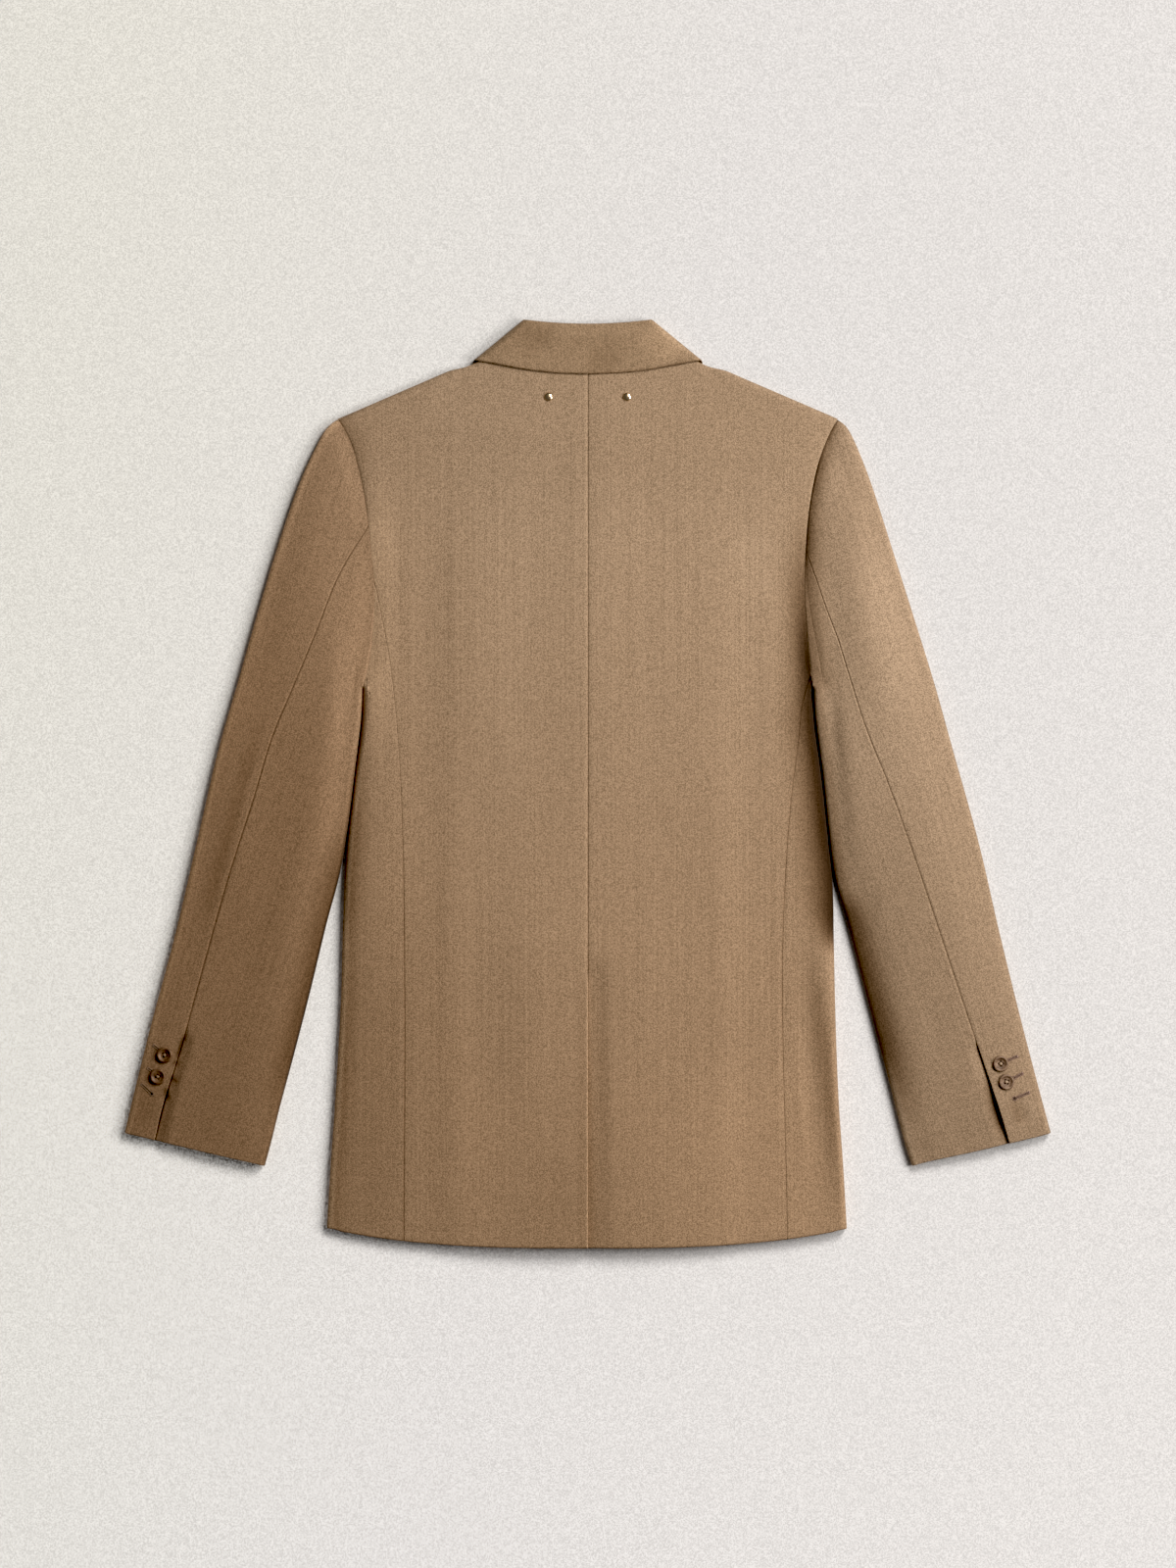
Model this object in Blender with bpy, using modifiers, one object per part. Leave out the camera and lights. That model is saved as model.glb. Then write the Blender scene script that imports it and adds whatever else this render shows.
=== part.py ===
"""A double breasted blazer, laid flat on its fronts with its back up.

x runs across the garment, positive on the wearer's right. y runs from the hem up to the collar, and z
up from the surface that it lies on. Tables and formulas are in millimetres, meshes in metres. Widths in
the tables are distances from the centre-back seam, so that one table serves both sides.
"""

import math
from collections import namedtuple

import bpy
import numpy as np

MM = 0.001

# The cloth, and how its layers lie on each other
WALL = 2.2          # face cloth, canvas and lining together
GAP = 0.3           # between two pieces at a seam, and between layers that touch
TURNED = WALL + GAP     # one layer's lift over another
ROLL = 5.0          # how far in from a fold the cloth turns over
ROLL_STEPS = 3
LEVEL = 7.8         # height of the upper face where two walls lie on each other
FRONTS_RISE = 2.0   # more, where the two fronts overlap
VENT_RISE = 2.4     # more again, over the underlap of the centre vent
COLLAR_SINK = 0.6   # the back lies this much lower under the collar

# The body
SHOULDER_X = 212
SHOULDER_Y = 309
SHOULDER_SLOPE = 0.43
NECK_X = 76
NECK_Y = 356
UNDERARM_Y = 80
HEM_Y = -393
HEM_CURVE = 16      # how much higher the hem is at the side folds
HEM_HALF = 220
VENT_TOP = -165
VENT_LAP = 34

# The fronts
OVERLAP_X = 88      # each front runs this far past the centre
OVERLAP_TOP = -20
FRONT_HEM_IN = 0.8
GORGE_X = 66
GORGE_Y = 314
GORGE_SLOPE = -0.5

# The collar
COLLAR_TOP_X = 54.5
COLLAR_TIP_X = 97
COLLAR_TIP_Y = 358.2
COLLAR_END_X = 106
ROLL_LINE_Y = 389.4
ROLL_LINE_RISE = 3.6    # from the centre to the corners
COLLAR_HEIGHT = 9.7     # upper face of the fall
COLLAR_TURN = 2.4       # the fall and the stand turn into each other over this width
STAND_HALF_TOP = 44
STAND_HALF_BOTTOM = 70

# Sleeve vent and trims
VENT_ROW = 10       # the row of the sleeve table where the cuff vent starts
CUFF_LAP = 22
FOREARM_IN = 22     # the forearm seam lies this far from the inner fold, underneath
CUFF_BUTTON_RADIUS = 6.8
FRONT_BUTTON_RADIUS = 11
FRONT_BUTTON_THICK = 1.8
FRONT_BUTTON_X = 62
FRONT_BUTTON_ROWS = (-46, -146, -246)
BUTTON_RISE_FLAT = 13   # the front lies flat this far out over a button
STUD_RADIUS = 3.6
STUD_X = 33.3
STUD_Y = 327.4

SIGN = {"left": -1, "right": 1}

Edge = namedtuple("Edge", "y left right")
Seam = namedtuple("Seam", "y x fold_y")
Place = namedtuple("Place", "y x")

# Lines that two pieces share run straight between their rows, and both pieces have a grid line there.
ARMHOLE = [
    Edge(309, 212, 212),
    Edge(298, 205.2, 205.6),
    Edge(286, 199.8, 200.4),
    Edge(270, 195, 194.8),
    Edge(250, 190.4, 190.2),
    Edge(224, 186.2, 186.4),
    Edge(196, 183, 184.2),
    Edge(168, 180.7, 183.5),
    Edge(136, 181.2, 184.7),
    Edge(106, 184.4, 187),
    Edge(80, 190.5, 190.3),
]

ARMHOLE_UNDER = [
    Edge(309, 212, 212),
    Edge(298, 205.2, 205.6),
    Edge(270, 195, 195),
    Edge(224, 186.5, 186.5),
    Edge(168, 182, 182),
    Edge(128, 183.5, 183.5),
    Edge(106, 184.4, 187),
    Edge(80, 190.5, 190.3),
]

# Across, the side-back seam and the side-front seam of each side body, and the level of its side fold
# that each of their points is joined to.
SIDE_SEAM = {
    "left": [
        Seam(172, 180.8, 80), Seam(140, 174.2, 64), Seam(109, 168.3, 52), Seam(70, 163.3, 34),
        Seam(30, 160, 10), Seam(-6, 158, -20), Seam(-42, 156.7, -55), Seam(-166, 155, -140),
        Seam(-388, 155.8, -377),
    ],
    "right": [
        Seam(92, 188.7, 80), Seam(69, 181.6, 64), Seam(34, 177.8, 34), Seam(8, 174.3, 10),
        Seam(-25, 170.7, -20), Seam(-55, 168.4, -55), Seam(-94, 166.2, -95), Seam(-385, 168.7, -377),
    ],
}

FRONT_SEAM = [Seam(128, 183.5, 80), Seam(20, 160, 10), Seam(-385.5, 172, -377)]

# Where the tips of a side body start, a little below the tops of its seams
SIDE_TIP = {"left": 166, "right": 90.5}
FRONT_TIP = 127

SIDE_FOLD = [
    Edge(80, 190.1, 189.9),
    Edge(50, 191.2, 191.6),
    Edge(22, 195.1, 195.6),
    Edge(-14, 199.2, 200),
    Edge(-49, 203.6, 203.6),
    Edge(-78, 205.8, 207),
    Edge(-140, 208, 208.5),
    Edge(-184, 209.2, 209.4),
    Edge(-228, 211.6, 210.7),
    Edge(-273, 214.3, 212.7),
    Edge(-325, 218, 216.4),
    Edge(-377, 221, 219.5),
]

# The free edge of a front: gorge, roll line of the lapel, then straight down. And the outer edge of
# what is turned under the front: the lapel up to its peak, then the collar.
FREE_EDGE = [
    Place(366, 76), Place(322, 66), Place(151, -9), Place(-20, -84), Place(-60, -88), Place(-393, -88),
]
TURNED_EDGE = [
    Place(366, 112), Place(330, 122), Place(281, 132), Place(230, 116), Place(150, 74), Place(60, 0),
    Place(-20, -78),
]
FALL_EDGE = [
    Place(346.5, 0), Place(347.8, 30), Place(350, 50), Place(354.5, 75), Place(357.2, 90), Place(358.2, 97),
]

# A row for each section of the sleeves, from the shoulder down: the point on the outer fold, the point
# on the inner fold, and the share of the way from outer to inner fold where the elbow seam lies.
Section = namedtuple(
    "Section", "outer_y outer_left outer_right inner_y inner_left inner_right elbow_left elbow_right"
)

SLEEVE = [
    Section(309, 212.4, 212.4, 80, 190.9, 190.7, 0.392, 0.476),
    Section(301, 221.6, 220.6, 72, 191.2, 191.2, 0.422, 0.542),
    Section(282, 232.0, 229.6, 56, 191.9, 192.4, 0.446, 0.605),
    Section(250, 246.0, 241.6, 34, 194.3, 195.3, 0.465, 0.621),
    Section(200, 263.0, 257.6, 5, 197.9, 199.1, 0.430, 0.596),
    Section(145, 279.6, 275.0, -35, 203.0, 203.4, 0.370, 0.553),
    Section(86, 296.5, 293.3, -77, 210.0, 208.6, 0.312, 0.494),
    Section(27, 313.4, 309.8, -120, 221.4, 220.6, 0.305, 0.462),
    Section(-50, 331.4, 331.2, -175, 234.7, 235.2, 0.261, 0.429),
    Section(-126, 349.2, 348.8, -226, 247.8, 248.4, 0.240, 0.384),
    Section(-202, 369.4, 367.5, -272, 260.2, 260.3, 0.240, 0.341),
    Section(-262, 384.4, 383.2, -304, 268.2, 268.5, 0.216, 0.311),
    Section(-296, 392.4, 392.4, -324, 273.6, 274.9, 0.217, 0.305),
]

# Soft folds of the back: a ridge where height is above 0, a trough where it is below.
Fold = namedtuple("Fold", "x0 y0 x1 y1 width height")

FOLDS = [
    Fold(-112, 300, -104, 10, 26, 0.7),
    Fold(-150, 120, -142, -30, 20, -0.5),
    Fold(-30, 200, -34, 20, 16, -0.3),
    Fold(140, 240, 132, 40, 30, 0.4),
    Fold(-180, -190, -186, -370, 26, -0.4),
    Fold(60, -330, 118, -190, 26, -0.3),
    Fold(188, -170, 200, -260, 14, -0.5),
]

CuffButton = namedtuple("CuffButton", "name side x y")

CUFF_BUTTONS = [
    CuffButton("cuff_button_left_1", "left", 357.9, -229.6),
    CuffButton("cuff_button_left_2", "left", 363.7, -248.0),
    CuffButton("cuff_button_right_1", "right", 348.9, -236.8),
    CuffButton("cuff_button_right_2", "right", 353.8, -252.2),
]


# ---------------------------------------------------------------- curves

def column(table, name):
    return np.array([getattr(row, name) for row in table], float)


def smooth(value, start, end):
    """0 at start, 1 at end and a soft step between them."""
    t = np.clip((value - start) / (end - start), 0, 1)
    return t * t * (3 - 2 * t)


def spline(knots, values, at):
    """The smooth line through values at knots, read at the given places."""
    knots, values, at = (np.asarray(a, float) for a in (knots, values, at))
    if knots[0] > knots[-1]:
        knots, values = knots[::-1], values[::-1]
    slopes = np.gradient(values, knots)
    i = np.clip(np.searchsorted(knots, at) - 1, 0, len(knots) - 2)
    span = knots[i + 1] - knots[i]
    t = np.clip((at - knots[i]) / span, 0, 1)
    return (
        values[i] * (1 + 2 * t) * (1 - t) ** 2
        + slopes[i] * span * t * (1 - t) ** 2
        + values[i + 1] * t * t * (3 - 2 * t)
        + slopes[i + 1] * span * t * t * (t - 1)
    )


def read(table, at, name="x"):
    """The width that a table gives at a height y, on a smooth line."""
    return spline(column(table, "y"), column(table, name), at)


def along(table, at, name="x"):
    """The width that a table gives at a height y, on straight lines between its rows."""
    return np.interp(at, column(table, "y")[::-1], column(table, name)[::-1])


def point(x, y):
    return np.stack(np.broadcast_arrays(np.asarray(x, float), np.asarray(y, float)), axis=-1)


def unit(vectors):
    return vectors / np.linalg.norm(vectors, axis=-1, keepdims=True)


def blend(a, b, share):
    return a + (b - a) * np.asarray(share)[..., None]


def swing(start, end, share):
    """Unit vectors swung from one direction to another by a share of the angle between them."""
    angle = np.arccos(np.clip(np.sum(start * end, axis=-1, keepdims=True), -1, 1))
    return (start * np.sin((1 - share) * angle) + end * np.sin(share * angle)) / np.sin(angle)


def coons(top, bottom, inner, outer, u, v):
    """The patch between four edges, each a function of a share. u runs from inner to outer, v down."""
    zero, one = np.zeros(1), np.ones(1)
    corners = blend(blend(top(zero), top(one), u), blend(bottom(zero), bottom(one), u), v)
    return blend(top(u), bottom(u), v) + blend(inner(v), outer(v), u) - corners


def hem_y(x):
    return HEM_Y + HEM_CURVE * (np.abs(x) / HEM_HALF) ** 3


def shoulder_y(x):
    """The shoulder line, with a small dip where the collar wraps over it."""
    dip = 3.0 * smooth(x, 120, 100)
    return SHOULDER_Y + SHOULDER_SLOPE * (SHOULDER_X - x) - dip


def neckline_y(x):
    return NECK_Y + (shoulder_y(NECK_X) - NECK_Y) * (x / NECK_X) ** 2


def roll_line_y(x):
    return ROLL_LINE_Y + ROLL_LINE_RISE * (x / COLLAR_TOP_X) ** 2


def back_edge_x(side, y):
    """The outer edge of half of the back: the armhole, then the side-back seam."""
    seam = SIDE_SEAM[side]
    return np.where(y >= seam[0].y, along(ARMHOLE, y, side), along(seam, y)) - GAP / 2


def front_edge_x(side, y):
    """The outer edge of a front, underneath: the armhole, then the side-front seam."""
    return np.where(y >= FRONT_SEAM[0].y, along(ARMHOLE_UNDER, y, side), along(FRONT_SEAM, y)) - GAP / 2


def knots(table, start, end):
    """The heights of a table's rows between two heights."""
    y = column(table, "y")
    return y[(y < start) & (y > end)]


# ---------------------------------------------------------------- heights

def folds(x, y):
    """Height of the soft folds: each a ridge along its line, bell-shaped across and fading at its ends."""
    total = 0 * x
    for f in FOLDS:
        length = math.hypot(f.x1 - f.x0, f.y1 - f.y0)
        ux, uy = (f.x1 - f.x0) / length, (f.y1 - f.y0) / length
        along = ((x - f.x0) * ux + (y - f.y0) * uy) / length
        across = (x - f.x0) * uy - (y - f.y0) * ux
        ends = smooth(along, -0.15, 0.25) * smooth(along, 1.15, 0.75)
        total = total + f.height * ends * np.exp(-((across / f.width) ** 2))
    return total


def body_level(x, y):
    """Height of the upper face of the back and the side bodies."""
    wide = np.abs(x)
    over_fronts = smooth(wide, 140, 106) * smooth(y, 250, 180)
    over_vent = smooth(wide, 78, 40) * smooth(y, -118, -160)
    under_collar = smooth(wide, 136, 106) * smooth(y, 298, 334)
    return (
        LEVEL
        + FRONTS_RISE * over_fronts
        + VENT_RISE * over_vent
        - COLLAR_SINK * under_collar
        + folds(x, y) * (1 - under_collar)
    )


def neck_lift(width):
    """Height of the fronts' lower face at the shoulder line: the collar lies under them near the neck."""
    return TURNED * smooth(width, 136, 112)


def button_rise(width, y):
    """Height of the outer front's lower face: a flat-topped rise over each front button."""
    rise = 0 * width
    for across in (-FRONT_BUTTON_X, FRONT_BUTTON_X):
        for row in FRONT_BUTTON_ROWS:
            far_x = np.clip(2 - np.abs(width - across) / BUTTON_RISE_FLAT, 0, 1)
            far_y = np.clip(2 - np.abs(y - row) / BUTTON_RISE_FLAT, 0, 1)
            rise = rise + (FRONT_BUTTON_THICK + GAP) * far_x * far_y
    return rise


# ---------------------------------------------------------------- building

def start_scene():
    for obj in list(bpy.data.objects):
        bpy.data.objects.remove(obj, do_unlink=True)


def new_collection(name):
    collection = bpy.data.collections.new(name)
    bpy.context.scene.collection.children.link(collection)
    return collection


def material(name, color, roughness, metallic=0.0):
    made = bpy.data.materials.new(name)
    made.use_nodes = True
    shader = made.node_tree.nodes["Principled BSDF"]
    shader.inputs["Base Color"].default_value = (*color, 1)
    shader.inputs["Roughness"].default_value = roughness
    shader.inputs["Metallic"].default_value = metallic
    made.diffuse_color = (*color, 1)
    return made


def rim_faces(quads, offset):
    """A quad over each open edge of the outer face, to the same edge of the inner face."""
    edges = {(int(a), int(b)) for q in quads for a, b in zip(q, np.roll(q, -1))}
    return [(b, a, a + offset, b + offset) for a, b in sorted(edges) if (b, a) not in edges]


def cloth(name, outer, inner, flip=False, keep=None):
    """A wall of cloth between its outer and inner faces, two grids of points in millimetres."""
    rows, columns = outer.shape[:2]
    index = np.arange(rows * columns).reshape(rows, columns)
    quads = np.stack([index[:-1, :-1], index[1:, :-1], index[1:, 1:], index[:-1, 1:]], axis=-1)
    quads = quads.reshape(-1, 4) if keep is None else quads[keep]
    if flip:
        quads = quads[:, ::-1]
    faces = [*quads.tolist(), *(quads[:, ::-1] + index.size).tolist(), *rim_faces(quads, index.size)]
    used, faces = np.unique(faces, return_inverse=True)
    points = np.concatenate([outer.reshape(-1, 3), inner.reshape(-1, 3)])[used] * MM
    mesh = bpy.data.meshes.new(name)
    mesh.from_pydata(points.tolist(), [], faces.reshape(-1, 4).tolist())
    mesh.shade_smooth()
    mesh.set_sharp_from_angle(angle=math.radians(50))
    mesh.materials.append(CLOTH)
    obj = bpy.data.objects.new(name, mesh)
    BLAZER.objects.link(obj)
    return obj


def placed(side, plan, height):
    """Points of a named side from their widths, y and heights."""
    x = plan[..., 0] * SIGN[side]
    return np.stack([x, plan[..., 1], np.broadcast_to(height, x.shape)], axis=-1)


def leaving_fold(edge, normal, target, distance, reach=2.5 * ROLL):
    """Plan points at a distance from a fold: squarely in from it, then over to the line to the target."""
    width = np.linalg.norm(target - edge, axis=-1)
    ruled = blend(edge, target, distance / width)
    square = edge + normal * distance[..., None]
    return blend(square, ruled, smooth(distance, ROLL, np.minimum(reach, 0.9 * width)))


def turned_in(angle, depth, turn=ROLL):
    """Distance from a fold of a point at this angle round it and this depth in the wall."""
    return turn * (1 - np.cos(angle)) + depth * np.cos(angle)


def roll_angles(steps=ROLL_STEPS):
    """Angles from the edge of a fold, 0, to where the cloth lies flat, a right angle."""
    return np.linspace(0, math.pi / 2, steps + 1)


# ---------------------------------------------------------------- back

def back_half(side):
    """Half of the back between centre seam, neckline with shoulder, armhole with side seam, and hem."""
    seam = SIDE_SEAM[side]
    widths = np.array([GAP / 2, 9, 22, 38, 56, 66, NECK_X, 88, 101, 122, 148, 174, 196, SHOULDER_X - GAP / 2])
    across = (widths - widths[0]) / np.ptp(widths)
    end_y = hem_y(seam[-1].x)
    low = blend_number(seam[-2].y, end_y, np.array([0.25, 0.5, 0.75, 1]))
    levels = np.concatenate([
        [SHOULDER_Y - 5.5], knots(ARMHOLE, SHOULDER_Y, seam[0].y), column(seam[:-1], "y"), low
    ])
    levels = (SHOULDER_Y - levels) / (SHOULDER_Y - end_y)
    down = np.concatenate([np.zeros(ROLL_STEPS + 1), levels])[:, None]
    angle = np.concatenate([roll_angles(), np.full(len(levels), math.pi / 2)])[:, None]
    turned = smooth(widths, 84, 104)    # the shoulder rolls over only outside the collar

    def top(share):
        x = blend_number(widths[0], widths[-1], share)
        return point(x, np.where(x < NECK_X, neckline_y(x), shoulder_y(x)))

    def bottom(share):
        x = blend_number(widths[0], back_edge_x(side, end_y), share)
        return point(x, hem_y(x))

    def inner(share):
        return point(widths[0], blend_number(NECK_Y, HEM_Y, share))

    def outer(share):
        y = blend_number(SHOULDER_Y, end_y, share)
        return point(back_edge_x(side, y), y)

    def face(depth):
        reach = ROLL * (1 - np.cos(angle)) + depth * np.cos(angle) * turned
        v = down + reach * (down == 0) / (top(across)[:, 1] - HEM_Y)
        plan = coons(top, bottom, inner, outer, np.broadcast_to(across, v.shape), v)
        level = body_level(plan[..., 0] * SIGN[side], plan[..., 1])
        seam_z = (level + neck_lift(widths)) / 2 + GAP / 2 * turned
        height = seam_z + (1 - turned * (1 - np.sin(angle))) * (level - depth - seam_z)
        return plan, height

    return face


def blend_number(a, b, share):
    return a + (b - a) * share


def back_left():
    face = back_half("left")
    cloth("back_left", *(placed("left", *face(depth)) for depth in (0, WALL)), flip=True)


def back_right():
    """The right half, with the vent's underlap running on below the left half."""
    face = back_half("right")
    laps = np.array([-VENT_LAP, -VENT_LAP / 2, -GAP])
    walls = []
    for depth in (0, WALL):
        plan, height = face(depth)
        lap = point(laps, plan[:, :1, 1])
        lap_height = body_level(lap[..., 0], lap[..., 1]) - depth
        plan = np.concatenate([lap, plan], axis=1)
        height = np.concatenate([lap_height, height], axis=1)
        drop = TURNED * smooth(plan[..., 0], 12, GAP / 2) * smooth(plan[..., 1], VENT_TOP + 26, VENT_TOP)
        walls.append(placed("right", plan, height - drop))
    keep = np.ones(np.array(walls[0].shape[:2]) - 1, bool)
    keep[:, : len(laps)] = (walls[0][:-1, 0, 1] <= VENT_TOP)[:, None]
    cloth("back_right", *walls, keep=keep)


# ---------------------------------------------------------------- side bodies

SIDE_ROWS = np.array([
    80, 79.4, 78.2, 76, 72, 64, 52, 34, 10, -20, -55, -95, -140, -190, -245, -300, -345, -377.0
])


def side_body(side):
    """From the side-back seam round the side fold to the side-front seam underneath."""
    fold = point(read(SIDE_FOLD, SIDE_ROWS, side), SIDE_ROWS)[:, None]
    square = unit(point(-1, np.gradient(fold[:, 0, 0], SIDE_ROWS)))[:, None]
    fan = np.clip((80 - SIDE_ROWS) / 8, 0, 1)[:, None, None]
    at_hole = smooth(SIDE_ROWS, 30, 80)[:, None, None]
    at_hem = smooth(SIDE_ROWS, -120, -377)[:, None, None]

    def layer(table, hole, tip, angle, run):
        """A function of the depth that gives the plan of the upper or of the lower layer."""
        seam_y = np.interp(-SIDE_ROWS, -column(table, "fold_y"), [tip, *column(table[1:], "y")])
        seam_x = along(table, seam_y) + GAP / 2
        seam_x[0] = along(hole, tip, side) - GAP / 2
        seam = point(seam_x, seam_y)[:, None]
        normal = swing(unit(seam[0] - fold[0]), square, fan)
        width = np.linalg.norm(seam - fold, axis=-1)

        def plan(depth):
            distance = turned_in(angle, depth) + (width - ROLL) * run
            share = distance / width
            hole_y = blend_number(fold[0, 0, 1], tip, share)
            hole_shift = point(along(hole, hole_y, side) - GAP / 2, hole_y) - blend(fold[0], seam[0], share)
            end = blend(fold[-1], seam[-1], share)
            hem_shift = point(0, hem_y(end[..., 0]) - end[..., 1])
            return leaving_fold(fold, normal, seam, distance) + hole_shift * at_hole + hem_shift * at_hem

        return plan

    def run(hole, tip):
        """Where the armhole's knots lie between the roll and the tip of the side body."""
        start = UNDERARM_Y + ROLL
        return (knots(hole, tip, start) - start) / (tip - start)

    angles, flat = roll_angles(), math.pi / 2
    upper_run = np.concatenate([[1], run(ARMHOLE, SIDE_TIP[side]) if side == "left" else [0.5]])
    lower_run = np.concatenate([run(ARMHOLE_UNDER, FRONT_TIP), [1]])
    upper_angle = np.concatenate([np.full(len(upper_run), flat), angles[::-1]])
    lower_angle = np.concatenate([angles[1:], np.full(len(lower_run), flat)])
    upper = layer(SIDE_SEAM[side], ARMHOLE, SIDE_TIP[side], upper_angle, np.concatenate([upper_run, 0 * angles]))
    lower = layer(FRONT_SEAM, ARMHOLE_UNDER, FRONT_TIP, lower_angle, np.concatenate([0 * angles[1:], lower_run]))
    turn = np.concatenate([np.sin(upper_angle), -np.sin(lower_angle)])

    def face(depth):
        plan = np.concatenate([upper(depth), lower(depth)], axis=1)
        half = body_level(plan[..., 0] * SIGN[side], plan[..., 1]) / 2
        return placed(side, plan, half + turn * (half - depth))

    cloth("side_" + side, face(0), face(WALL), flip=side == "left")


# ---------------------------------------------------------------- sleeves

def sleeve_lines(side, rows):
    """Outer fold, its normals, inner fold, its normals and the elbow share at rows of the table."""
    index = np.arange(len(SLEEVE))

    def line(name_x, name_y, at):
        return point(spline(index, column(SLEEVE, name_x), at), spline(index, column(SLEEVE, name_y), at))

    def fold(which, inward):
        names = (which + "_" + side, which + "_y")
        edge = line(*names, rows)
        step = 0.02
        tangent = unit(line(*names, np.minimum(rows + step, index[-1])) - line(*names, np.maximum(rows - step, 0)))
        square = inward * np.stack([tangent[:, 1], -tangent[:, 0]], axis=-1)
        return edge, square

    outer, outer_square = fold("outer", 1)
    inner, inner_square = fold("inner", -1)
    hole = unit(inner[0] - outer[0])
    outer_normal = swing(hole, outer_square, np.clip(rows / 0.7, 0, 1)[:, None])
    inner_normal = swing(-hole, inner_square, np.clip(rows / 0.2, 0, 1)[:, None])
    elbow = spline(index, column(SLEEVE, "elbow_" + side), rows)
    return outer[:, None], outer_normal[:, None], inner[:, None], inner_normal[:, None], elbow[:, None]


def sleeve_level(side, width, y):
    """Height of the sleeve's upper face."""
    return LEVEL + 0 * width


def sleeve_plan(side, lines, distance, hole):
    """Plan at a distance from the outer fold: square to each fold near it, and the armhole at the top."""
    outer, outer_normal, inner, inner_normal, _ = lines
    width = np.linalg.norm(inner - outer, axis=-1)
    share = distance / width
    ruled = blend(outer, inner, share)
    near = 0.3 * width
    near_outer = 1 - smooth(distance, ROLL, 9 + (near - 9) * smooth(SLEEVE_ROWS, 0.5, 3)[:, None])
    near_inner = 1 - smooth(width - distance, ROLL, near)
    hole_y = blend_number(SHOULDER_Y, UNDERARM_Y, share)
    hole_shift = point(along(hole, hole_y, side) + GAP / 2, hole_y) - blend(outer[0], inner[0], share)
    return (
        ruled
        + (outer + outer_normal * distance[..., None] - ruled) * near_outer[..., None]
        + (inner + inner_normal * (width - distance)[..., None] - ruled) * near_inner[..., None]
        + hole_shift * smooth(SLEEVE_ROWS, 3.2, 0)[:, None, None]
    )


def sleeve_face(side, lines, upper, lower, turn, depth):
    """A face of a piece of sleeve from the distances of its columns in the upper and in the lower layer."""
    plan = np.concatenate([
        sleeve_plan(side, lines, upper, ARMHOLE), sleeve_plan(side, lines, lower, ARMHOLE_UNDER)
    ], axis=1)
    half = sleeve_level(side, plan[..., 0], plan[..., 1]) / 2
    return plan, half + turn * (half - depth)


def knot_runs(hole, start, end, start_y, end_y):
    """Where the armhole's knots lie between two distances, as shares from the first to the second."""
    share = (SHOULDER_Y - knots(hole, start_y, end_y)) / (SHOULDER_Y - UNDERARM_Y)
    return (share * SLEEVE_HEAD - start) / (end - start)


SLEEVE_HEAD = math.hypot(SHOULDER_X - 190.8, SHOULDER_Y - UNDERARM_Y)    # from the outer to the inner fold
SLEEVE_ROWS = np.array([
    0, 0.04, 0.08, 0.13, 0.2, 0.7, 1.3, 2, 2.8, 4, 5, 6, 7, 8, 9, VENT_ROW - 0.4, VENT_ROW,
    VENT_ROW + 0.5, VENT_ROW + 1, VENT_ROW + 1.5, VENT_ROW + 2,
])


def sleeve_top(side):
    """The outer piece: from the elbow seam round the outer fold to the forearm seam underneath."""
    lines = sleeve_lines(side, SLEEVE_ROWS)
    width = np.linalg.norm(lines[2] - lines[0], axis=-1)
    seam = lines[4] * width - GAP / 2
    end = width - FOREARM_IN - GAP / 2
    angles, flat = roll_angles(), math.pi / 2
    elbow_y = blend_number(SHOULDER_Y, UNDERARM_Y, lines[4][0, 0])
    upper_run = knot_runs(ARMHOLE, ROLL, seam[0, 0], SHOULDER_Y - ROLL, elbow_y)[::-1]
    lower_run = knot_runs(ARMHOLE_UNDER, ROLL, end[0, 0], SHOULDER_Y - ROLL, UNDERARM_Y + FOREARM_IN)
    turn = np.sin(np.concatenate([
        np.full(1 + len(upper_run), flat), angles[::-1], -angles[1:], np.full(1 + len(lower_run), -flat)
    ]))

    def face(depth):
        rolled = turned_in(angles[::-1], depth) + 0 * width
        upper = np.concatenate([seam, ROLL + (seam - ROLL) * upper_run, rolled], axis=1)
        rolled = turned_in(angles[1:], depth) + 0 * width
        lower = np.concatenate([rolled, ROLL + (end - ROLL) * lower_run, end], axis=1)
        return placed(side, *sleeve_face(side, lines, upper, lower, turn, depth))

    cloth("sleeve_top_" + side, face(0), face(WALL), flip=side == "left")


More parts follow.
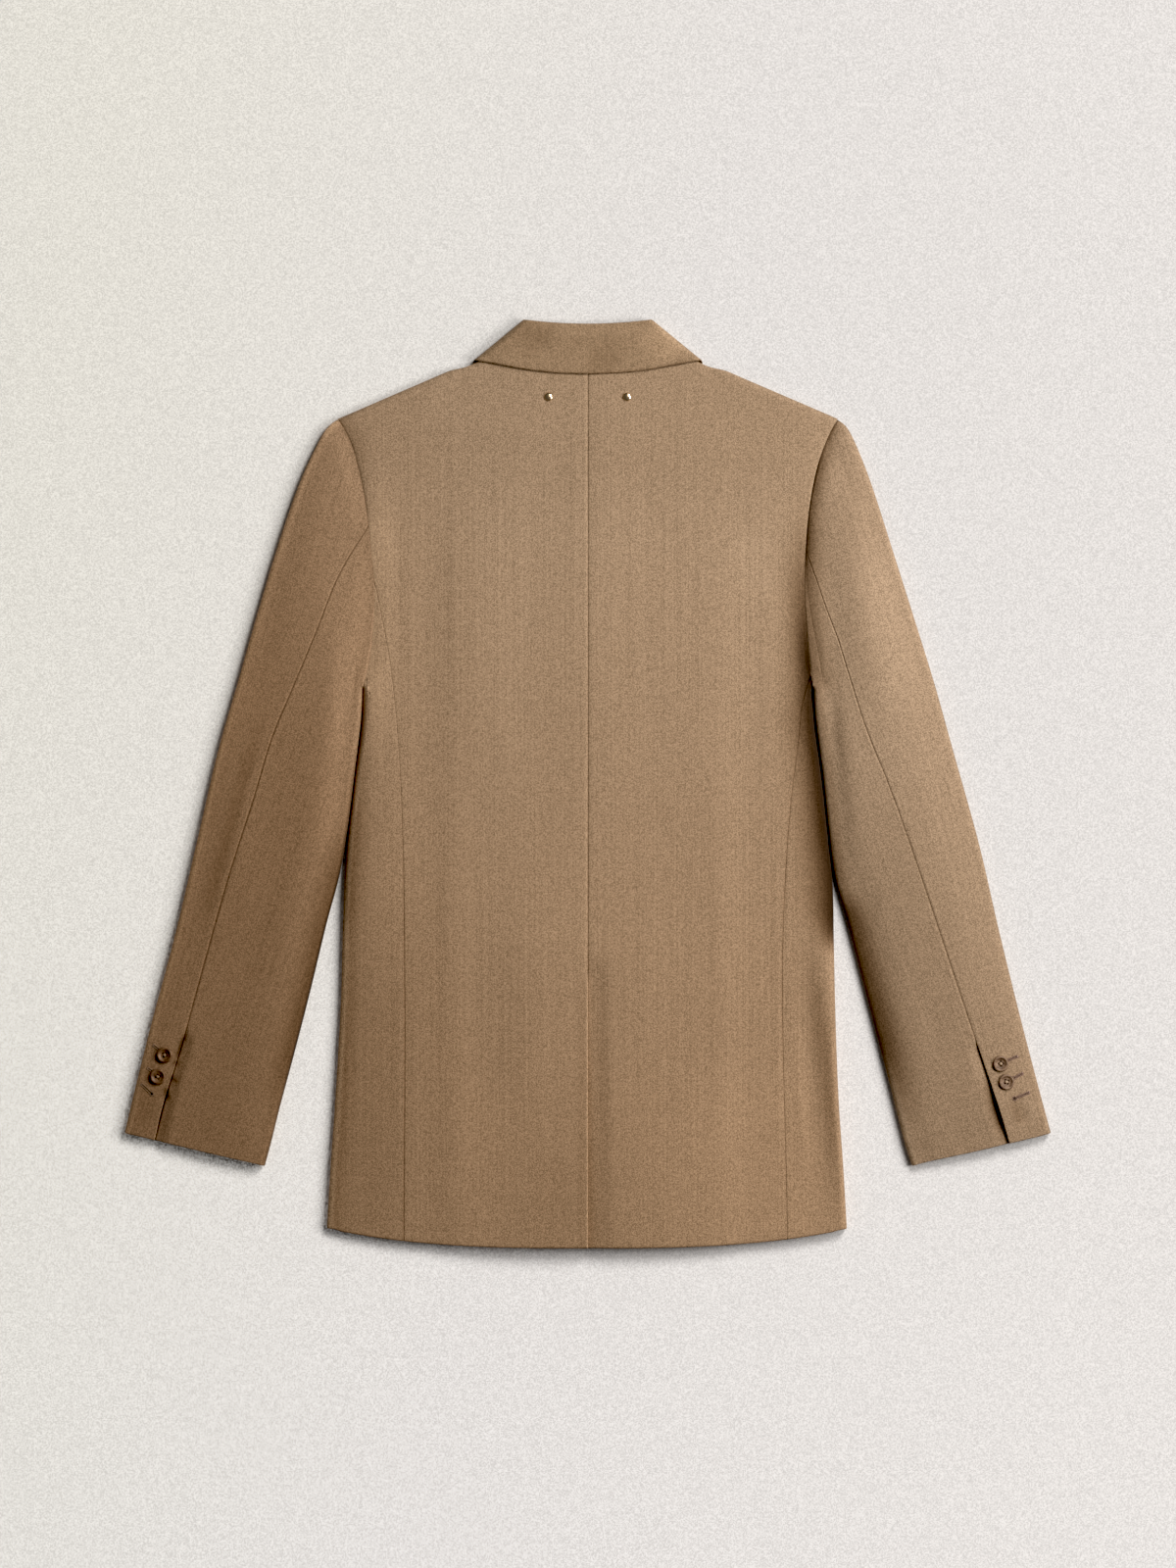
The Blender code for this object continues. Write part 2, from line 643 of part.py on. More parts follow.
def sleeve_under(side):
    """The inner piece: from the elbow seam round the inner fold to the forearm seam, with the vent's lap."""
    lines = sleeve_lines(side, SLEEVE_ROWS)
    width = np.linalg.norm(lines[2] - lines[0], axis=-1)
    seam = lines[4] * width + GAP / 2
    angles, flat = roll_angles(), math.pi / 2
    laps = np.array([CUFF_LAP, CUFF_LAP / 2, 2 * GAP])
    elbow_y = blend_number(SHOULDER_Y, UNDERARM_Y, lines[4][0, 0])
    run = knot_runs(ARMHOLE, seam[0, 0], width[0, 0] - ROLL, elbow_y, UNDERARM_Y + ROLL)
    on_top = len(laps) + 1 + len(run)
    turn = np.sin(np.concatenate([np.full(on_top, flat), angles[::-1], -angles[1:], [-flat, -flat]]))

    def face(depth):
        rolled = width - turned_in(angles[::-1], depth)
        upper = np.concatenate([seam - laps, seam, seam + (width - ROLL - seam) * run, rolled], axis=1)
        rolled = width - turned_in(angles[1:], depth)
        lower = np.concatenate([rolled, width - ROLL - (FOREARM_IN - GAP / 2 - ROLL) * np.array([0.5, 1])], axis=1)
        plan, height = sleeve_face(side, lines, upper, lower, turn, depth)
        near_lap = np.concatenate([smooth(upper - seam, 12, 0), 0 * lower], axis=1)
        drop = TURNED * near_lap * smooth(SLEEVE_ROWS, 9.3, VENT_ROW)[:, None]
        return placed(side, plan, height - drop)

    outer = face(0)
    keep = np.ones(np.array(outer.shape[:2]) - 1, bool)
    keep[:, : len(laps)] = (SLEEVE_ROWS[:-1] >= VENT_ROW)[:, None]
    cloth("sleeve_under_" + side, outer, face(WALL), flip=side == "right", keep=keep)


# ---------------------------------------------------------------- fronts and lapels

def front(side, widths, turned_lift, over_lift, low_rows, low_lift):
    """A front: its rows are level below the overlap's top, and fan out to the shoulder above it.

    The part next to its free edge is raised: by turned_lift down to where the fronts cross, then by over_lift.
    """
    widths = np.array(widths, float)
    across = (widths + OVERLAP_X) / np.ptp(widths)
    raised = widths <= 100
    levels = [*knots(ARMHOLE_UNDER, SHOULDER_Y, FRONT_TIP + 2), 150, 128, 95, 56, 20, -7, OVERLAP_TOP]
    upper = (SHOULDER_Y - np.array(levels)) / (SHOULDER_Y - OVERLAP_TOP)
    down = np.concatenate([np.zeros(ROLL_STEPS + 1), upper])[:, None]
    angle = np.concatenate([roll_angles(), np.full(len(upper), math.pi / 2)])[:, None]
    neck_y = shoulder_y(NECK_X)
    crossed = blend_number(neck_y, OVERLAP_TOP, down) < 180
    crossed = crossed & (widths <= np.where(blend_number(SHOULDER_Y, OVERLAP_TOP, down) > 50, 65, 100))
    lift = np.where(crossed, over_lift, turned_lift) * raised
    shoulder = blend_number(NECK_X, SHOULDER_X - GAP / 2, across)
    turned = smooth(shoulder, 84, 104)
    lift[: ROLL_STEPS + 2] = neck_lift(shoulder)
    lift[-1] = low_lift(widths, OVERLAP_TOP)

    def level_x(y):
        """Widths of a level row: fixed over the overlap, then spread out to the side seam."""
        spread = (front_edge_x(side, y) - 112) / (widths[-1] - 112)
        return np.where(widths <= 112, widths, 112 + (widths - 112) * spread)

    def top(share):
        x = blend_number(NECK_X, SHOULDER_X - GAP / 2, share)
        return point(x, shoulder_y(x))

    def bottom(share):
        return point(np.interp(share, across, level_x(OVERLAP_TOP)), OVERLAP_TOP)

    def inner(share):
        y = blend_number(neck_y, OVERLAP_TOP, share)
        return point(read(FREE_EDGE, y), y)

    def outer(share):
        y = blend_number(SHOULDER_Y, OVERLAP_TOP, share)
        return point(front_edge_x(side, y), y)

    low = np.stack([point(level_x(y), y) for y in low_rows])
    hem = level_x(HEM_Y)
    low = np.concatenate([low, point(hem, hem_y(hem) + FRONT_HEM_IN)[None]])

    def face(depth):
        reach = ROLL * (1 - np.cos(angle)) + depth * np.cos(angle) * turned
        v = down + reach * (down == 0) / (shoulder_y(shoulder) - OVERLAP_TOP)
        plan = coons(top, bottom, inner, outer, np.broadcast_to(across, v.shape), v)
        seam_z = (body_level(shoulder * SIGN[side], shoulder_y(shoulder)) + neck_lift(shoulder)) / 2
        seam_z = np.where(down < 0.02, seam_z - GAP / 2 * turned, lift + depth)
        height = seam_z - (1 - turned * (1 - np.sin(angle))) * (seam_z - depth - lift)
        height = np.concatenate([height, low_lift(low[..., 0], low[..., 1]) + depth])
        return placed(side, np.concatenate([plan, low]), height)

    cloth("front_" + side, face(0), face(WALL), flip=side == "right")


def fronts():
    near, far = BUTTON_RISE_FLAT, 2 * BUTTON_RISE_FLAT
    columns = [x + d for x in (-FRONT_BUTTON_X, FRONT_BUTTON_X) for d in (-far, -near, near, far)]
    rows = [y + d for y in FRONT_BUTTON_ROWS for d in (far, near, -near, -far)]
    widths = [*columns[:4], 0, *columns[4:], 112, 136, 160, 186]
    front("right", widths, TURNED, TURNED, [*rows[1:], -330], button_rise)

    def over(width, y):
        return 2 * TURNED * np.clip((112 - width) / (112 - 92), 0, 1) + 0 * y

    widths = [-88, -60, -30, 0, 30, 60, 92, 112, 136, 160, 186]
    front("left", widths, TURNED, 2 * TURNED, [-90, -170, -250, -330], over)


def lapel(side, low_y):
    """A turned-back lapel, on the surface under its front, from the gorge down to the roll line's end."""
    u, v = np.meshgrid(np.linspace(0, 1, 6), np.linspace(0, 1, 9))

    def top(share):
        x = blend_number(GORGE_X, 132, share)
        return point(x, GORGE_Y + GORGE_SLOPE * (x - GORGE_X))

    def inner(share):
        y = blend_number(GORGE_Y, low_y, share)
        return point(read(FREE_EDGE, y) + GAP, y)

    def outer(share):
        y = blend_number(top(1)[1], low_y, share)
        return point(read(TURNED_EDGE, y), y)

    def bottom(share):
        return blend(inner(1), outer(1), share)

    plan = coons(top, bottom, inner, outer, u, v)
    cloth("lapel_" + side, placed(side, plan, 0), placed(side, plan, WALL), flip=side == "right")


# ---------------------------------------------------------------- collar

def collar_fall():
    """The fall: over the back of the neck, round the fold at each side and on to its end underneath."""
    edge = np.concatenate([np.zeros(ROLL_STEPS + 1), [0.16, 0.34, 0.52, 0.7, 0.86, 1]])[:, None]
    turn_line = np.concatenate([roll_angles(), np.full(6, math.pi / 2)])[:, None]
    corner = np.array([COLLAR_TOP_X, roll_line_y(COLLAR_TOP_X)])
    tip = np.array([COLLAR_TIP_X, COLLAR_TIP_Y])
    length = np.linalg.norm(tip - corner)
    middle = COLLAR_HEIGHT / 2
    angles = roll_angles()
    back_run = np.array([1, 0.8, 0.6, 0.4, 0.2])
    end_run = np.array([0.33, 0.66, 1])

    def half(depth):
        share = edge + (1 - edge) * turned_in(turn_line, depth, COLLAR_TURN) * (edge < 0.02) / length
        fold = blend(corner, tip, share)
        centre = point(0, blend_number(ROLL_LINE_Y, FALL_EDGE[0].y, share))
        end_x = blend_number(GORGE_X - 1, COLLAR_END_X, share)
        end = point(end_x, GORGE_Y + GORGE_SLOPE * (end_x - GORGE_X) + 2 * GAP)
        square = unit(np.array([tip[1] - corner[1], corner[0] - tip[0]]))
        fan = smooth(share, 0, 0.25) * smooth(share, 1, 0.75)

        def layer(target, distance):
            normal = unit(blend(unit(target - fold), square, fan))
            return leaving_fold(fold, normal, target, distance, 3 * ROLL)

        width = np.linalg.norm(centre - fold, axis=-1)
        rolled = turned_in(angles[::-1], depth) + 0 * width
        over = np.concatenate([ROLL + (width - ROLL) * back_run, rolled], axis=1)
        back = layer(centre, over)
        x = (width - over) / width
        rise = roll_line_y(x * COLLAR_TOP_X) - blend_number(ROLL_LINE_Y, corner[1], x)
        fall = read_fall(x * COLLAR_TIP_X) - blend_number(FALL_EDGE[0].y, tip[1], x)
        back[..., 1] += (1 - share) * rise + share * fall
        width = np.linalg.norm(end - fold, axis=-1)
        rolled = turned_in(angles[1:], depth) + 0 * width
        under = np.concatenate([rolled, ROLL + (width - ROLL) * end_run], axis=1)
        plan = np.concatenate([back, layer(end, under)], axis=1)
        flat = math.pi / 2
        turn = np.sin(np.concatenate([np.full(5, flat), angles[::-1], -angles[1:], np.full(3, -flat)]))
        line = (COLLAR_HEIGHT - WALL - GAP / 2) - middle     # where the fall meets the stand
        upper = line + GAP / 2 + np.sin(turn_line) * (middle - depth - line - GAP / 2)
        return plan, middle + turn * upper

    walls = []
    for depth in (0, WALL):
        plan, height = half(depth)
        right = placed("right", plan, height)
        left = placed("left", plan, height)
        walls.append(np.concatenate([left[:, :0:-1], right], axis=1))
    cloth("collar_fall", *walls, flip=False)


def read_fall(x):
    return spline(column(FALL_EDGE, "x"), column(FALL_EDGE, "y"), x)


def collar_stand():
    """The stand: behind the fall, from the roll line down to the neck seam, its neck side facing down."""
    turn_line = np.concatenate([roll_angles(), np.full(3, math.pi / 2)])[:, None]
    down = np.concatenate([np.zeros(ROLL_STEPS + 1), [0.35, 0.7, 1]])[:, None]
    across = np.linspace(-1, 1, 11)[None]
    top_z = COLLAR_HEIGHT - WALL - GAP
    walls = []
    for depth in (0, WALL):
        length = ROLL_LINE_Y - NECK_Y
        share = down + turned_in(turn_line, depth, COLLAR_TURN) * (down < 0.02) / length
        x = across * blend_number(STAND_HALF_TOP, STAND_HALF_BOTTOM, share)
        y = blend_number(roll_line_y(x), neckline_y(x) + GAP, share)
        height = top_z - np.sin(turn_line) * (WALL - depth) + 0 * x
        walls.append(np.stack([x, y, height], axis=-1))
    cloth("collar_stand", *walls, flip=True)


# ---------------------------------------------------------------- buttons and studs

def turned_piece(name, profile, place, steps, finish):
    """A turned piece: a profile of (radius, height) rows, spun about z and set down at its place."""
    mesh = bpy.data.meshes.new(name)
    mesh.from_pydata([(r * MM, 0, z * MM) for r, z in profile], [(i, i + 1) for i in range(len(profile) - 1)], [])
    obj = bpy.data.objects.new(name, mesh)
    BLAZER.objects.link(obj)
    obj.location = [p * MM for p in place]
    spin = obj.modifiers.new("turn", "SCREW")
    spin.steps = spin.render_steps = steps
    spin.use_merge_vertices = True
    spin.merge_threshold = 0.00001
    mesh.materials.append(finish)
    return obj


def cuff_buttons():
    """Four-hole buttons with a raised rim, each a little above the cuff on its thread."""
    r = CUFF_BUTTON_RADIUS
    profile = [
        (0, 1.7), (0.62 * r, 1.7), (0.72 * r, 2.5), (0.9 * r, 2.5), (r, 1.9), (r, 0.9), (0.8 * r, 0), (0, 0),
    ]
    for row in CUFF_BUTTONS:
        z = sleeve_level(row.side, row.x, row.y) + GAP
        place = (SIGN[row.side] * row.x, row.y, float(z))
        button = turned_piece(row.name, profile, place, 14, HORN)
        for k in range(4):
            turn = math.radians(45 + 90 * k)
            bpy.ops.mesh.primitive_cylinder_add(
                vertices=6, radius=0.75 * MM, depth=8 * MM,
                location=[(p + d) * MM for p, d in zip(place, (1.6 * math.cos(turn), 1.6 * math.sin(turn), 1))],
            )
            cutter = bpy.context.object
            cutter.name = f"{row.name}_hole_{k + 1}"
            cutter.hide_render = True
            cutter.display_type = "WIRE"
            for collection in list(cutter.users_collection):
                collection.objects.unlink(cutter)
            CUTTERS.objects.link(cutter)
            cut = button.modifiers.new(f"hole_{k + 1}", "BOOLEAN")
            cut.operation = "DIFFERENCE"
            cut.object = cutter


def front_buttons():
    """Two rows of plain buttons, on the surface under the outer front."""
    r, z = FRONT_BUTTON_RADIUS, FRONT_BUTTON_THICK
    profile = [(0, z), (0.85 * r, z), (r, 0.6 * z), (r, 0.4 * z), (0.92 * r, 0), (0, 0)]
    number = 0
    for row in FRONT_BUTTON_ROWS:
        for x in (-FRONT_BUTTON_X, FRONT_BUTTON_X):
            number += 1
            turned_piece(f"front_button_{number}", profile, (x, row, 0), 20, HORN)


def studs():
    """Two small domed studs under the collar."""
    r = STUD_RADIUS
    profile = [(0, 1.5), (0.5 * r, 1.25), (0.85 * r, 0.7), (r, 0.3), (r, 0), (0, 0)]
    for side, sign in SIGN.items():
        z = body_level(np.array(sign * STUD_X), STUD_Y) + GAP
        turned_piece("stud_" + side, profile, (sign * STUD_X, STUD_Y, float(z)), 16, GOLD)


start_scene()
BLAZER = new_collection("double_breasted_blazer")
CUTTERS = new_collection("cutters")
CLOTH = material("beige_wool", (0.34, 0.22, 0.135), 0.85)
HORN = material("brown_horn", (0.13, 0.07, 0.04), 0.35)
GOLD = material("gold_metal", (0.75, 0.55, 0.28), 0.3, metallic=1.0)

back_left()
back_right()
for name in SIGN:
    side_body(name)
    sleeve_top(name)
    sleeve_under(name)
fronts()
lapel("right", -5)
lapel("left", 181)
collar_fall()
collar_stand()
cuff_buttons()
front_buttons()
studs()
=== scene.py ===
import math
from collections import namedtuple

import bpy
import numpy as np
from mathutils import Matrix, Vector
from mathutils.bvhtree import BVHTree


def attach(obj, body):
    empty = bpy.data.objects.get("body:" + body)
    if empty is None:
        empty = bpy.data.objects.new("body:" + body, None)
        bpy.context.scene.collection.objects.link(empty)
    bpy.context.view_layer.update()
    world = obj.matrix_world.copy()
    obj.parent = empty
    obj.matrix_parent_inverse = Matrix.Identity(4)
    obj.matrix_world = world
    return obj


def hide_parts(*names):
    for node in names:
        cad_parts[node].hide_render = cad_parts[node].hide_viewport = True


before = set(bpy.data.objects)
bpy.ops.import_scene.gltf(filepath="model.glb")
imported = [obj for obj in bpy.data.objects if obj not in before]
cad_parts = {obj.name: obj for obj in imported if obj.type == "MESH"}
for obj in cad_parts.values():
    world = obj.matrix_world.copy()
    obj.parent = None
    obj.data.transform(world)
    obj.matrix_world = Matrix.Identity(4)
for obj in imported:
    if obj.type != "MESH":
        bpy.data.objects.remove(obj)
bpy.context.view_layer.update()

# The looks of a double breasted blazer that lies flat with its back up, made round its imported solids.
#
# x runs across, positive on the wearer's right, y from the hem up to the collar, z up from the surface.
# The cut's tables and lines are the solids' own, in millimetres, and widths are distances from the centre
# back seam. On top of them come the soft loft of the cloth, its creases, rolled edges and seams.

MM = 0.001

# ---------------------------------------------------------------- the solids' sizes

WALL = 2.2          # face cloth, canvas and lining together
GAP = 0.3           # between two pieces at a seam
TURNED = WALL + GAP     # one layer's lift over another
ROLL = 5.0          # how far in from a fold the cloth turns over
LEVEL = 7.8         # height of the upper face where two walls lie on each other
FRONTS_RISE = 2.0   # more, where the two fronts overlap
VENT_RISE = 2.4     # more again, over the underlap of the centre vent
COLLAR_SINK = 0.6   # the back lies this much lower under the collar

SHOULDER_X = 212
SHOULDER_Y = 309
SHOULDER_SLOPE = 0.43
NECK_X = 76
NECK_Y = 356
UNDERARM_Y = 80
HEM_Y = -393
HEM_CURVE = 16      # how much higher the hem is at the side folds
HEM_HALF = 220
VENT_TOP = -165
VENT_LAP = 34

OVERLAP_X = 88      # each front runs this far past the centre
OVERLAP_TOP = -20
FRONT_HEM_IN = 0.8  # the fronts' hem is this much higher than the back's
GORGE_X = 66
GORGE_Y = 314
GORGE_SLOPE = -0.5

COLLAR_TOP_X = 54.5
COLLAR_TIP_X = 97
COLLAR_TIP_Y = 358.2
COLLAR_END_X = 106
ROLL_LINE_Y = 389.4
ROLL_LINE_RISE = 3.6    # from the centre to the corners
COLLAR_HEIGHT = 9.7     # upper face of the fall
COLLAR_TURN = 2.4       # the fall and the stand turn into each other over this width
STAND_HALF_TOP = 44
STAND_HALF_BOTTOM = 70

VENT_ROW = 10       # the row of the sleeve table where the cuff vent starts
CUFF_LAP = 22
FOREARM_IN = 22     # the forearm seam lies this far from the inner fold, underneath
FRONT_BUTTON_THICK = 1.8
FRONT_BUTTON_X = 62
FRONT_BUTTON_ROWS = (-46, -146, -246)
BUTTON_RISE_FLAT = 13   # the front lies flat this far out over a button
FAN_X = 112         # the fronts' widths stay the same out to here, and fan out beyond it
LAPEL_TIP_X = 132
CUFF_BUTTON_RADIUS = 6.8
THREAD_HOLE = 1.7   # from a button's middle to each of its holes
BUTTON_LIFT = 0.35  # the thread's shank, between the cloth and a button
STUD_RADIUS = 3.6
STUD_X = 33.3
STUD_Y = 327.4

SIGN = {"left": -1, "right": 1}


def rows_with(columns, rows):
    """A short table: its rows, with named columns."""
    row = namedtuple("Row", columns)
    return [row(*values) for values in rows]


# Where the armhole lies on each side: on the upper layer, and on the lower one
ARMHOLE = rows_with("y left right", [
    (309, 212, 212), (298, 205.2, 205.6), (286, 199.8, 200.4), (270, 195, 194.8),
    (250, 190.4, 190.2), (224, 186.2, 186.4), (196, 183, 184.2), (168, 180.7, 183.5),
    (136, 181.2, 184.7), (106, 184.4, 187), (80, 190.5, 190.3),
])

ARMHOLE_UNDER = rows_with("y left right", [
    (309, 212, 212), (298, 205.2, 205.6), (270, 195, 195), (224, 186.5, 186.5),
    (168, 182, 182), (128, 183.5, 183.5), (106, 184.4, 187), (80, 190.5, 190.3),
])

# The side-back and the side-front seam of each side body, and the level of its side fold that each of their
# points is joined to. Its tips start a little below the tops of those seams.
SIDE_SEAM = {
    "left": rows_with("y x fold_y", [
        (172, 180.8, 80), (140, 174.2, 64), (109, 168.3, 52), (70, 163.3, 34),
        (30, 160, 10), (-6, 158, -20), (-42, 156.7, -55), (-166, 155, -140),
        (-388, 155.8, -377),
    ]),
    "right": rows_with("y x fold_y", [
        (92, 188.7, 80), (69, 181.6, 64), (34, 177.8, 34), (8, 174.3, 10),
        (-25, 170.7, -20), (-55, 168.4, -55), (-94, 166.2, -95), (-385, 168.7, -377),
    ]),
}

FRONT_SEAM = rows_with("y x fold_y", [(128, 183.5, 80), (20, 160, 10), (-385.5, 172, -377)])
SIDE_TIP = {"left": 171.5, "right": 91.6}
FRONT_TIP = 127

SIDE_FOLD = rows_with("y left right", [
    (80, 190.1, 189.9), (50, 191.2, 191.6), (22, 195.1, 195.6), (-14, 199.2, 200),
    (-49, 203.6, 203.6), (-78, 205.8, 207), (-140, 208, 208.5), (-184, 209.2, 209.4),
    (-228, 211.6, 210.7), (-273, 214.3, 212.7), (-325, 218, 216.4), (-377, 221, 219.5),
])

# The free edge of a front: gorge, roll line of the lapel, then straight down. And the outer edge of what is
# turned under the front: the lapel up to its peak, then the collar. And the collar's lower edge.
FREE_EDGE = rows_with("y x", [
    (366, 76), (322, 66), (151, -9), (-20, -84), (-60, -88), (-393, -88),
])
TURNED_EDGE = rows_with("y x", [
    (366, 112), (330, 122), (281, 132), (230, 116), (150, 74), (60, 0), (-20, -78),
])
FALL_EDGE = rows_with("y x", [
    (346.5, 0), (347.8, 30), (350, 50), (354.5, 75), (357.2, 90), (358.2, 97),
])

# A row for each section of the sleeves, from the shoulder down: the point on the outer fold, the point on
# the inner fold, and the share of the way from outer to inner fold where the elbow seam lies
SLEEVE = rows_with("outer_y outer_left outer_right inner_y inner_left inner_right elbow_left elbow_right", [
    (309, 212.4, 212.4, 80, 190.9, 190.7, 0.392, 0.476),
    (301, 221.6, 220.6, 72, 191.2, 191.2, 0.422, 0.542),
    (282, 232.0, 229.6, 56, 191.9, 192.4, 0.446, 0.605),
    (250, 246.0, 241.6, 34, 194.3, 195.3, 0.465, 0.621),
    (200, 263.0, 257.6, 5, 197.9, 199.1, 0.430, 0.596),
    (145, 279.6, 275.0, -35, 203.0, 203.4, 0.370, 0.553),
    (86, 296.5, 293.3, -77, 210.0, 208.6, 0.312, 0.494),
    (27, 313.4, 309.8, -120, 221.4, 220.6, 0.305, 0.462),
    (-50, 331.4, 331.2, -175, 234.7, 235.2, 0.261, 0.429),
    (-126, 349.2, 348.8, -226, 247.8, 248.4, 0.240, 0.384),
    (-202, 369.4, 367.5, -272, 260.2, 260.3, 0.240, 0.341),
    (-262, 384.4, 383.2, -304, 268.2, 268.5, 0.216, 0.311),
    (-296, 392.4, 392.4, -324, 273.6, 274.9, 0.217, 0.305),
])

# ---------------------------------------------------------------- the cloth's own form

HALF_SEAM = 0.03    # half of what is left open at a sewn seam
CLOTH_WALL = 1.8    # the shown cloth, a little inside its solid's wall
EDGE_ROUND = 0.9    # radius of a turned edge
STEP = 2.7          # between grid lines on the seen faces
HIDDEN_STEP = 7.0   # and on the hidden ones
NEAR_SEAM = (0.35, 0.8, 1.4, 2.2, 3.3, 4.8)     # closer grid lines beside a seam
ROLL_STEPS = 10

# How far the cloth lofts above its solid, from the shoulders down to the hem
BODY_LOFT = rows_with("y height", [
    (400, 0), (330, 0.3), (300, 1.2), (260, 2.6), (200, 4.2), (140, 5.2), (20, 5.4), (-80, 5.2),
    (-180, 4.8), (-300, 4.0), (-393, 2.4),
])
# and which share of it is left towards the sides, from one fold over the centre to the other: high up, where
# the armholes are, and low down, at the hem
BODY_ACROSS = rows_with("share high low", [
    (-1, 0.45, 0.0), (-0.95, 0.80, 0.22), (-0.88, 0.96, 0.45), (-0.7, 1.0, 0.78), (-0.4, 1.0, 0.97),
    (0, 1.0, 1.0), (0.6, 1.0, 1.0), (0.9, 0.96, 0.90), (1, 0.66, 0.86),
])
# The sleeves' loft at each section from the armhole down to the cuff
SLEEVE_LOFT = [3.0, 4.4, 5.6, 7.0, 8.4, 9.0, 9.0, 8.6, 8.0, 7.2, 6.0, 4.6, 3.0]
# and which share of it is left, from the outer fold to the inner one
SLEEVE_ACROSS = {
    "left": rows_with("share height", [(0, 0.1), (0.15, 0.36), (0.45, 0.72), (0.85, 1.0), (1, 0.62)]),
    "right": rows_with("share height", [
        (0, 0.2), (0.1, 0.6), (0.3, 1.0), (0.6, 0.84), (0.82, 0.56), (1, -0.05),
    ]),
}

# Soft creases: a ridge where height is above 0, a trough where it is below, along a line.
FOLD = "x0 y0 x1 y1 width height"
BODY_FOLDS = rows_with(FOLD, [
    (-112, 310, -104, 10, 24, 0.4),
    (-50, 240, -46, 0, 20, -0.6),
    (-146, 120, -150, -60, 18, -0.3),
    (42, 290, 52, 170, 22, -0.5),
    (128, 250, 126, 60, 24, 0.7),
    (-176, -170, -190, -380, 20, -0.7),
    (-60, -250, -34, -385, 26, -0.6),
    (30, -262, 112, -190, 22, -0.5),
    (197, -130, 219, -350, 12, 4.0),
    (172, -160, 184, -335, 5, 0.45),
    (205, -50, 210, -130, 5, -4.2),
    (-206, -60, -216, -330, 12, -0.8),
    (120, -300, 190, -262, 20, 0.4),
    (-20, -30, -150, -80, 26, -0.5),
    (30, -40, 150, -70, 26, -0.5),
])

# Painted shade and painted light: how much paler, above 0, or darker, below 0, the cloth's colour is painted
# along a line
BODY_PAINTED_LIGHT_AND_SHADE = rows_with(FOLD, [
    (-190, -130, -195, -430, 42, -0.13),
    (-34, -310, -34, -420, 24, -0.06),
    (-92, -240, -92, -420, 20, 0.08),
    (196, -180, 206, -300, 8, -0.16),
    (176, -190, 186, -330, 3, 0.05),
    (120, -240, 150, -430, 60, 0.12),
    (138, 215, 146, 150, 14, 0.06),
    (-176, 262, -180, 30, 15, 0.27),
    (175, -200, 190, -430, 26, 0.07),
])
# Painted shade and painted light on the sleeves, in the same way
SLEEVE_PAINTED_LIGHT_AND_SHADE = {
    "left": rows_with(FOLD, [
        (-276, 60, -326, -120, 8, -0.20),
        (-200, 205, -208, 90, 14, 0.03),
        (-372, -215, -380, -300, 16, -0.14),
        (-189, 225, -190, 50, 8, 0.14),
        (-351, -235.4, -344, -237.6, 1.9, -0.5),
        (-355, -249.8, -345.5, -251.4, 2.1, -0.5),
        (-354.6, -256.7, -349, -267.4, 1.9, 0.3),
        (-357.5, -257, -355, -268, 2.6, -0.6),
        (-341.3, -213, -347.6, -233, 1.7, -0.7),
    ]),
    "right": rows_with(FOLD, [
        (238, 200, 268, 70, 24, 0.07),
        (221, 200, 250, -20, 26, 0.08),
        (360, -269, 366, -288, 5, -0.26),
        (372, -264, 379, -286, 5, 0.10),
    ]),
}
# and on the collar's fall
COLLAR_PAINTED_LIGHT_AND_SHADE = rows_with(FOLD, [
    (-62, 392, -34, 372, 20, -0.14), (0, 362, 24, 350, 15, -0.13), (56, 388, 76, 360, 20, 0.28),
])

SLEEVE_FOLDS = {
    "left": rows_with(FOLD, [
        (-262, 60, -290, -60, 16, -0.5),
        (-226, -10, -262, -150, 14, 0.5),
        (-300, -120, -352, -210, 12, 0.4),
    ]),
    "right": rows_with(FOLD, [
        (214, 300, 219, 240, 12, -0.9),
        (200, 190, 222, 60, 12, -0.9),
        (240, 160, 268, 20, 20, 0.5),
        (232, -60, 256, -180, 14, -0.6),
        (300, -90, 330, -200, 14, 0.4),
        (364, -268, 371, -290, 6, -1.2),
    ]),
}

CUFF_BUTTONS = rows_with("name side x y turn", [
    ("cuff_button_left_1", "left", 357.9, -229.6, 20),
    ("cuff_button_left_2", "left", 363.7, -248.0, 65),
    ("cuff_button_right_1", "right", 348.9, -236.8, 45),
    ("cuff_button_right_2", "right", 353.8, -252.2, 75),
])


# ---------------------------------------------------------------- curves

def column(table, name):
    return np.array([getattr(row, name) for row in table], float)


def smooth(value, start, end):
    """0 at start, 1 at end and a soft step between them: t squared times 3 - 2t."""
    t = np.clip((value - start) / (end - start), 0, 1)
    return t * t * (3 - 2 * t)


def bell(distance, width):
    return np.exp(-((distance / width) ** 2))


def spline(knots, values, at):
    """The smooth line through values at knots: a cubic between each two, with the table's own slopes."""
    knots, values, at = (np.asarray(a, float) for a in (knots, values, at))
    if knots[0] > knots[-1]:
        knots, values = knots[::-1], values[::-1]
    slopes = np.gradient(values, knots)
    i = np.clip(np.searchsorted(knots, at) - 1, 0, len(knots) - 2)
    span = knots[i + 1] - knots[i]
    t = np.clip((at - knots[i]) / span, 0, 1)
    return (
        values[i] * (1 + 2 * t) * (1 - t) ** 2
        + slopes[i] * span * t * (1 - t) ** 2
        + values[i + 1] * t * t * (3 - 2 * t)
        + slopes[i + 1] * span * t * t * (t - 1)
    )


def read(table, at, name="x"):
    """The width that a table gives at a height y."""
    return spline(column(table, "y"), column(table, name), at)


def point(x, y):
    return np.stack(np.broadcast_arrays(np.asarray(x, float), np.asarray(y, float)), axis=-1)


def unit(vectors):
    return vectors / np.linalg.norm(vectors, axis=-1, keepdims=True)


def direction(degrees):
    """The unit vector at an angle from x."""
    return np.array([math.cos(math.radians(degrees)), math.sin(math.radians(degrees))])


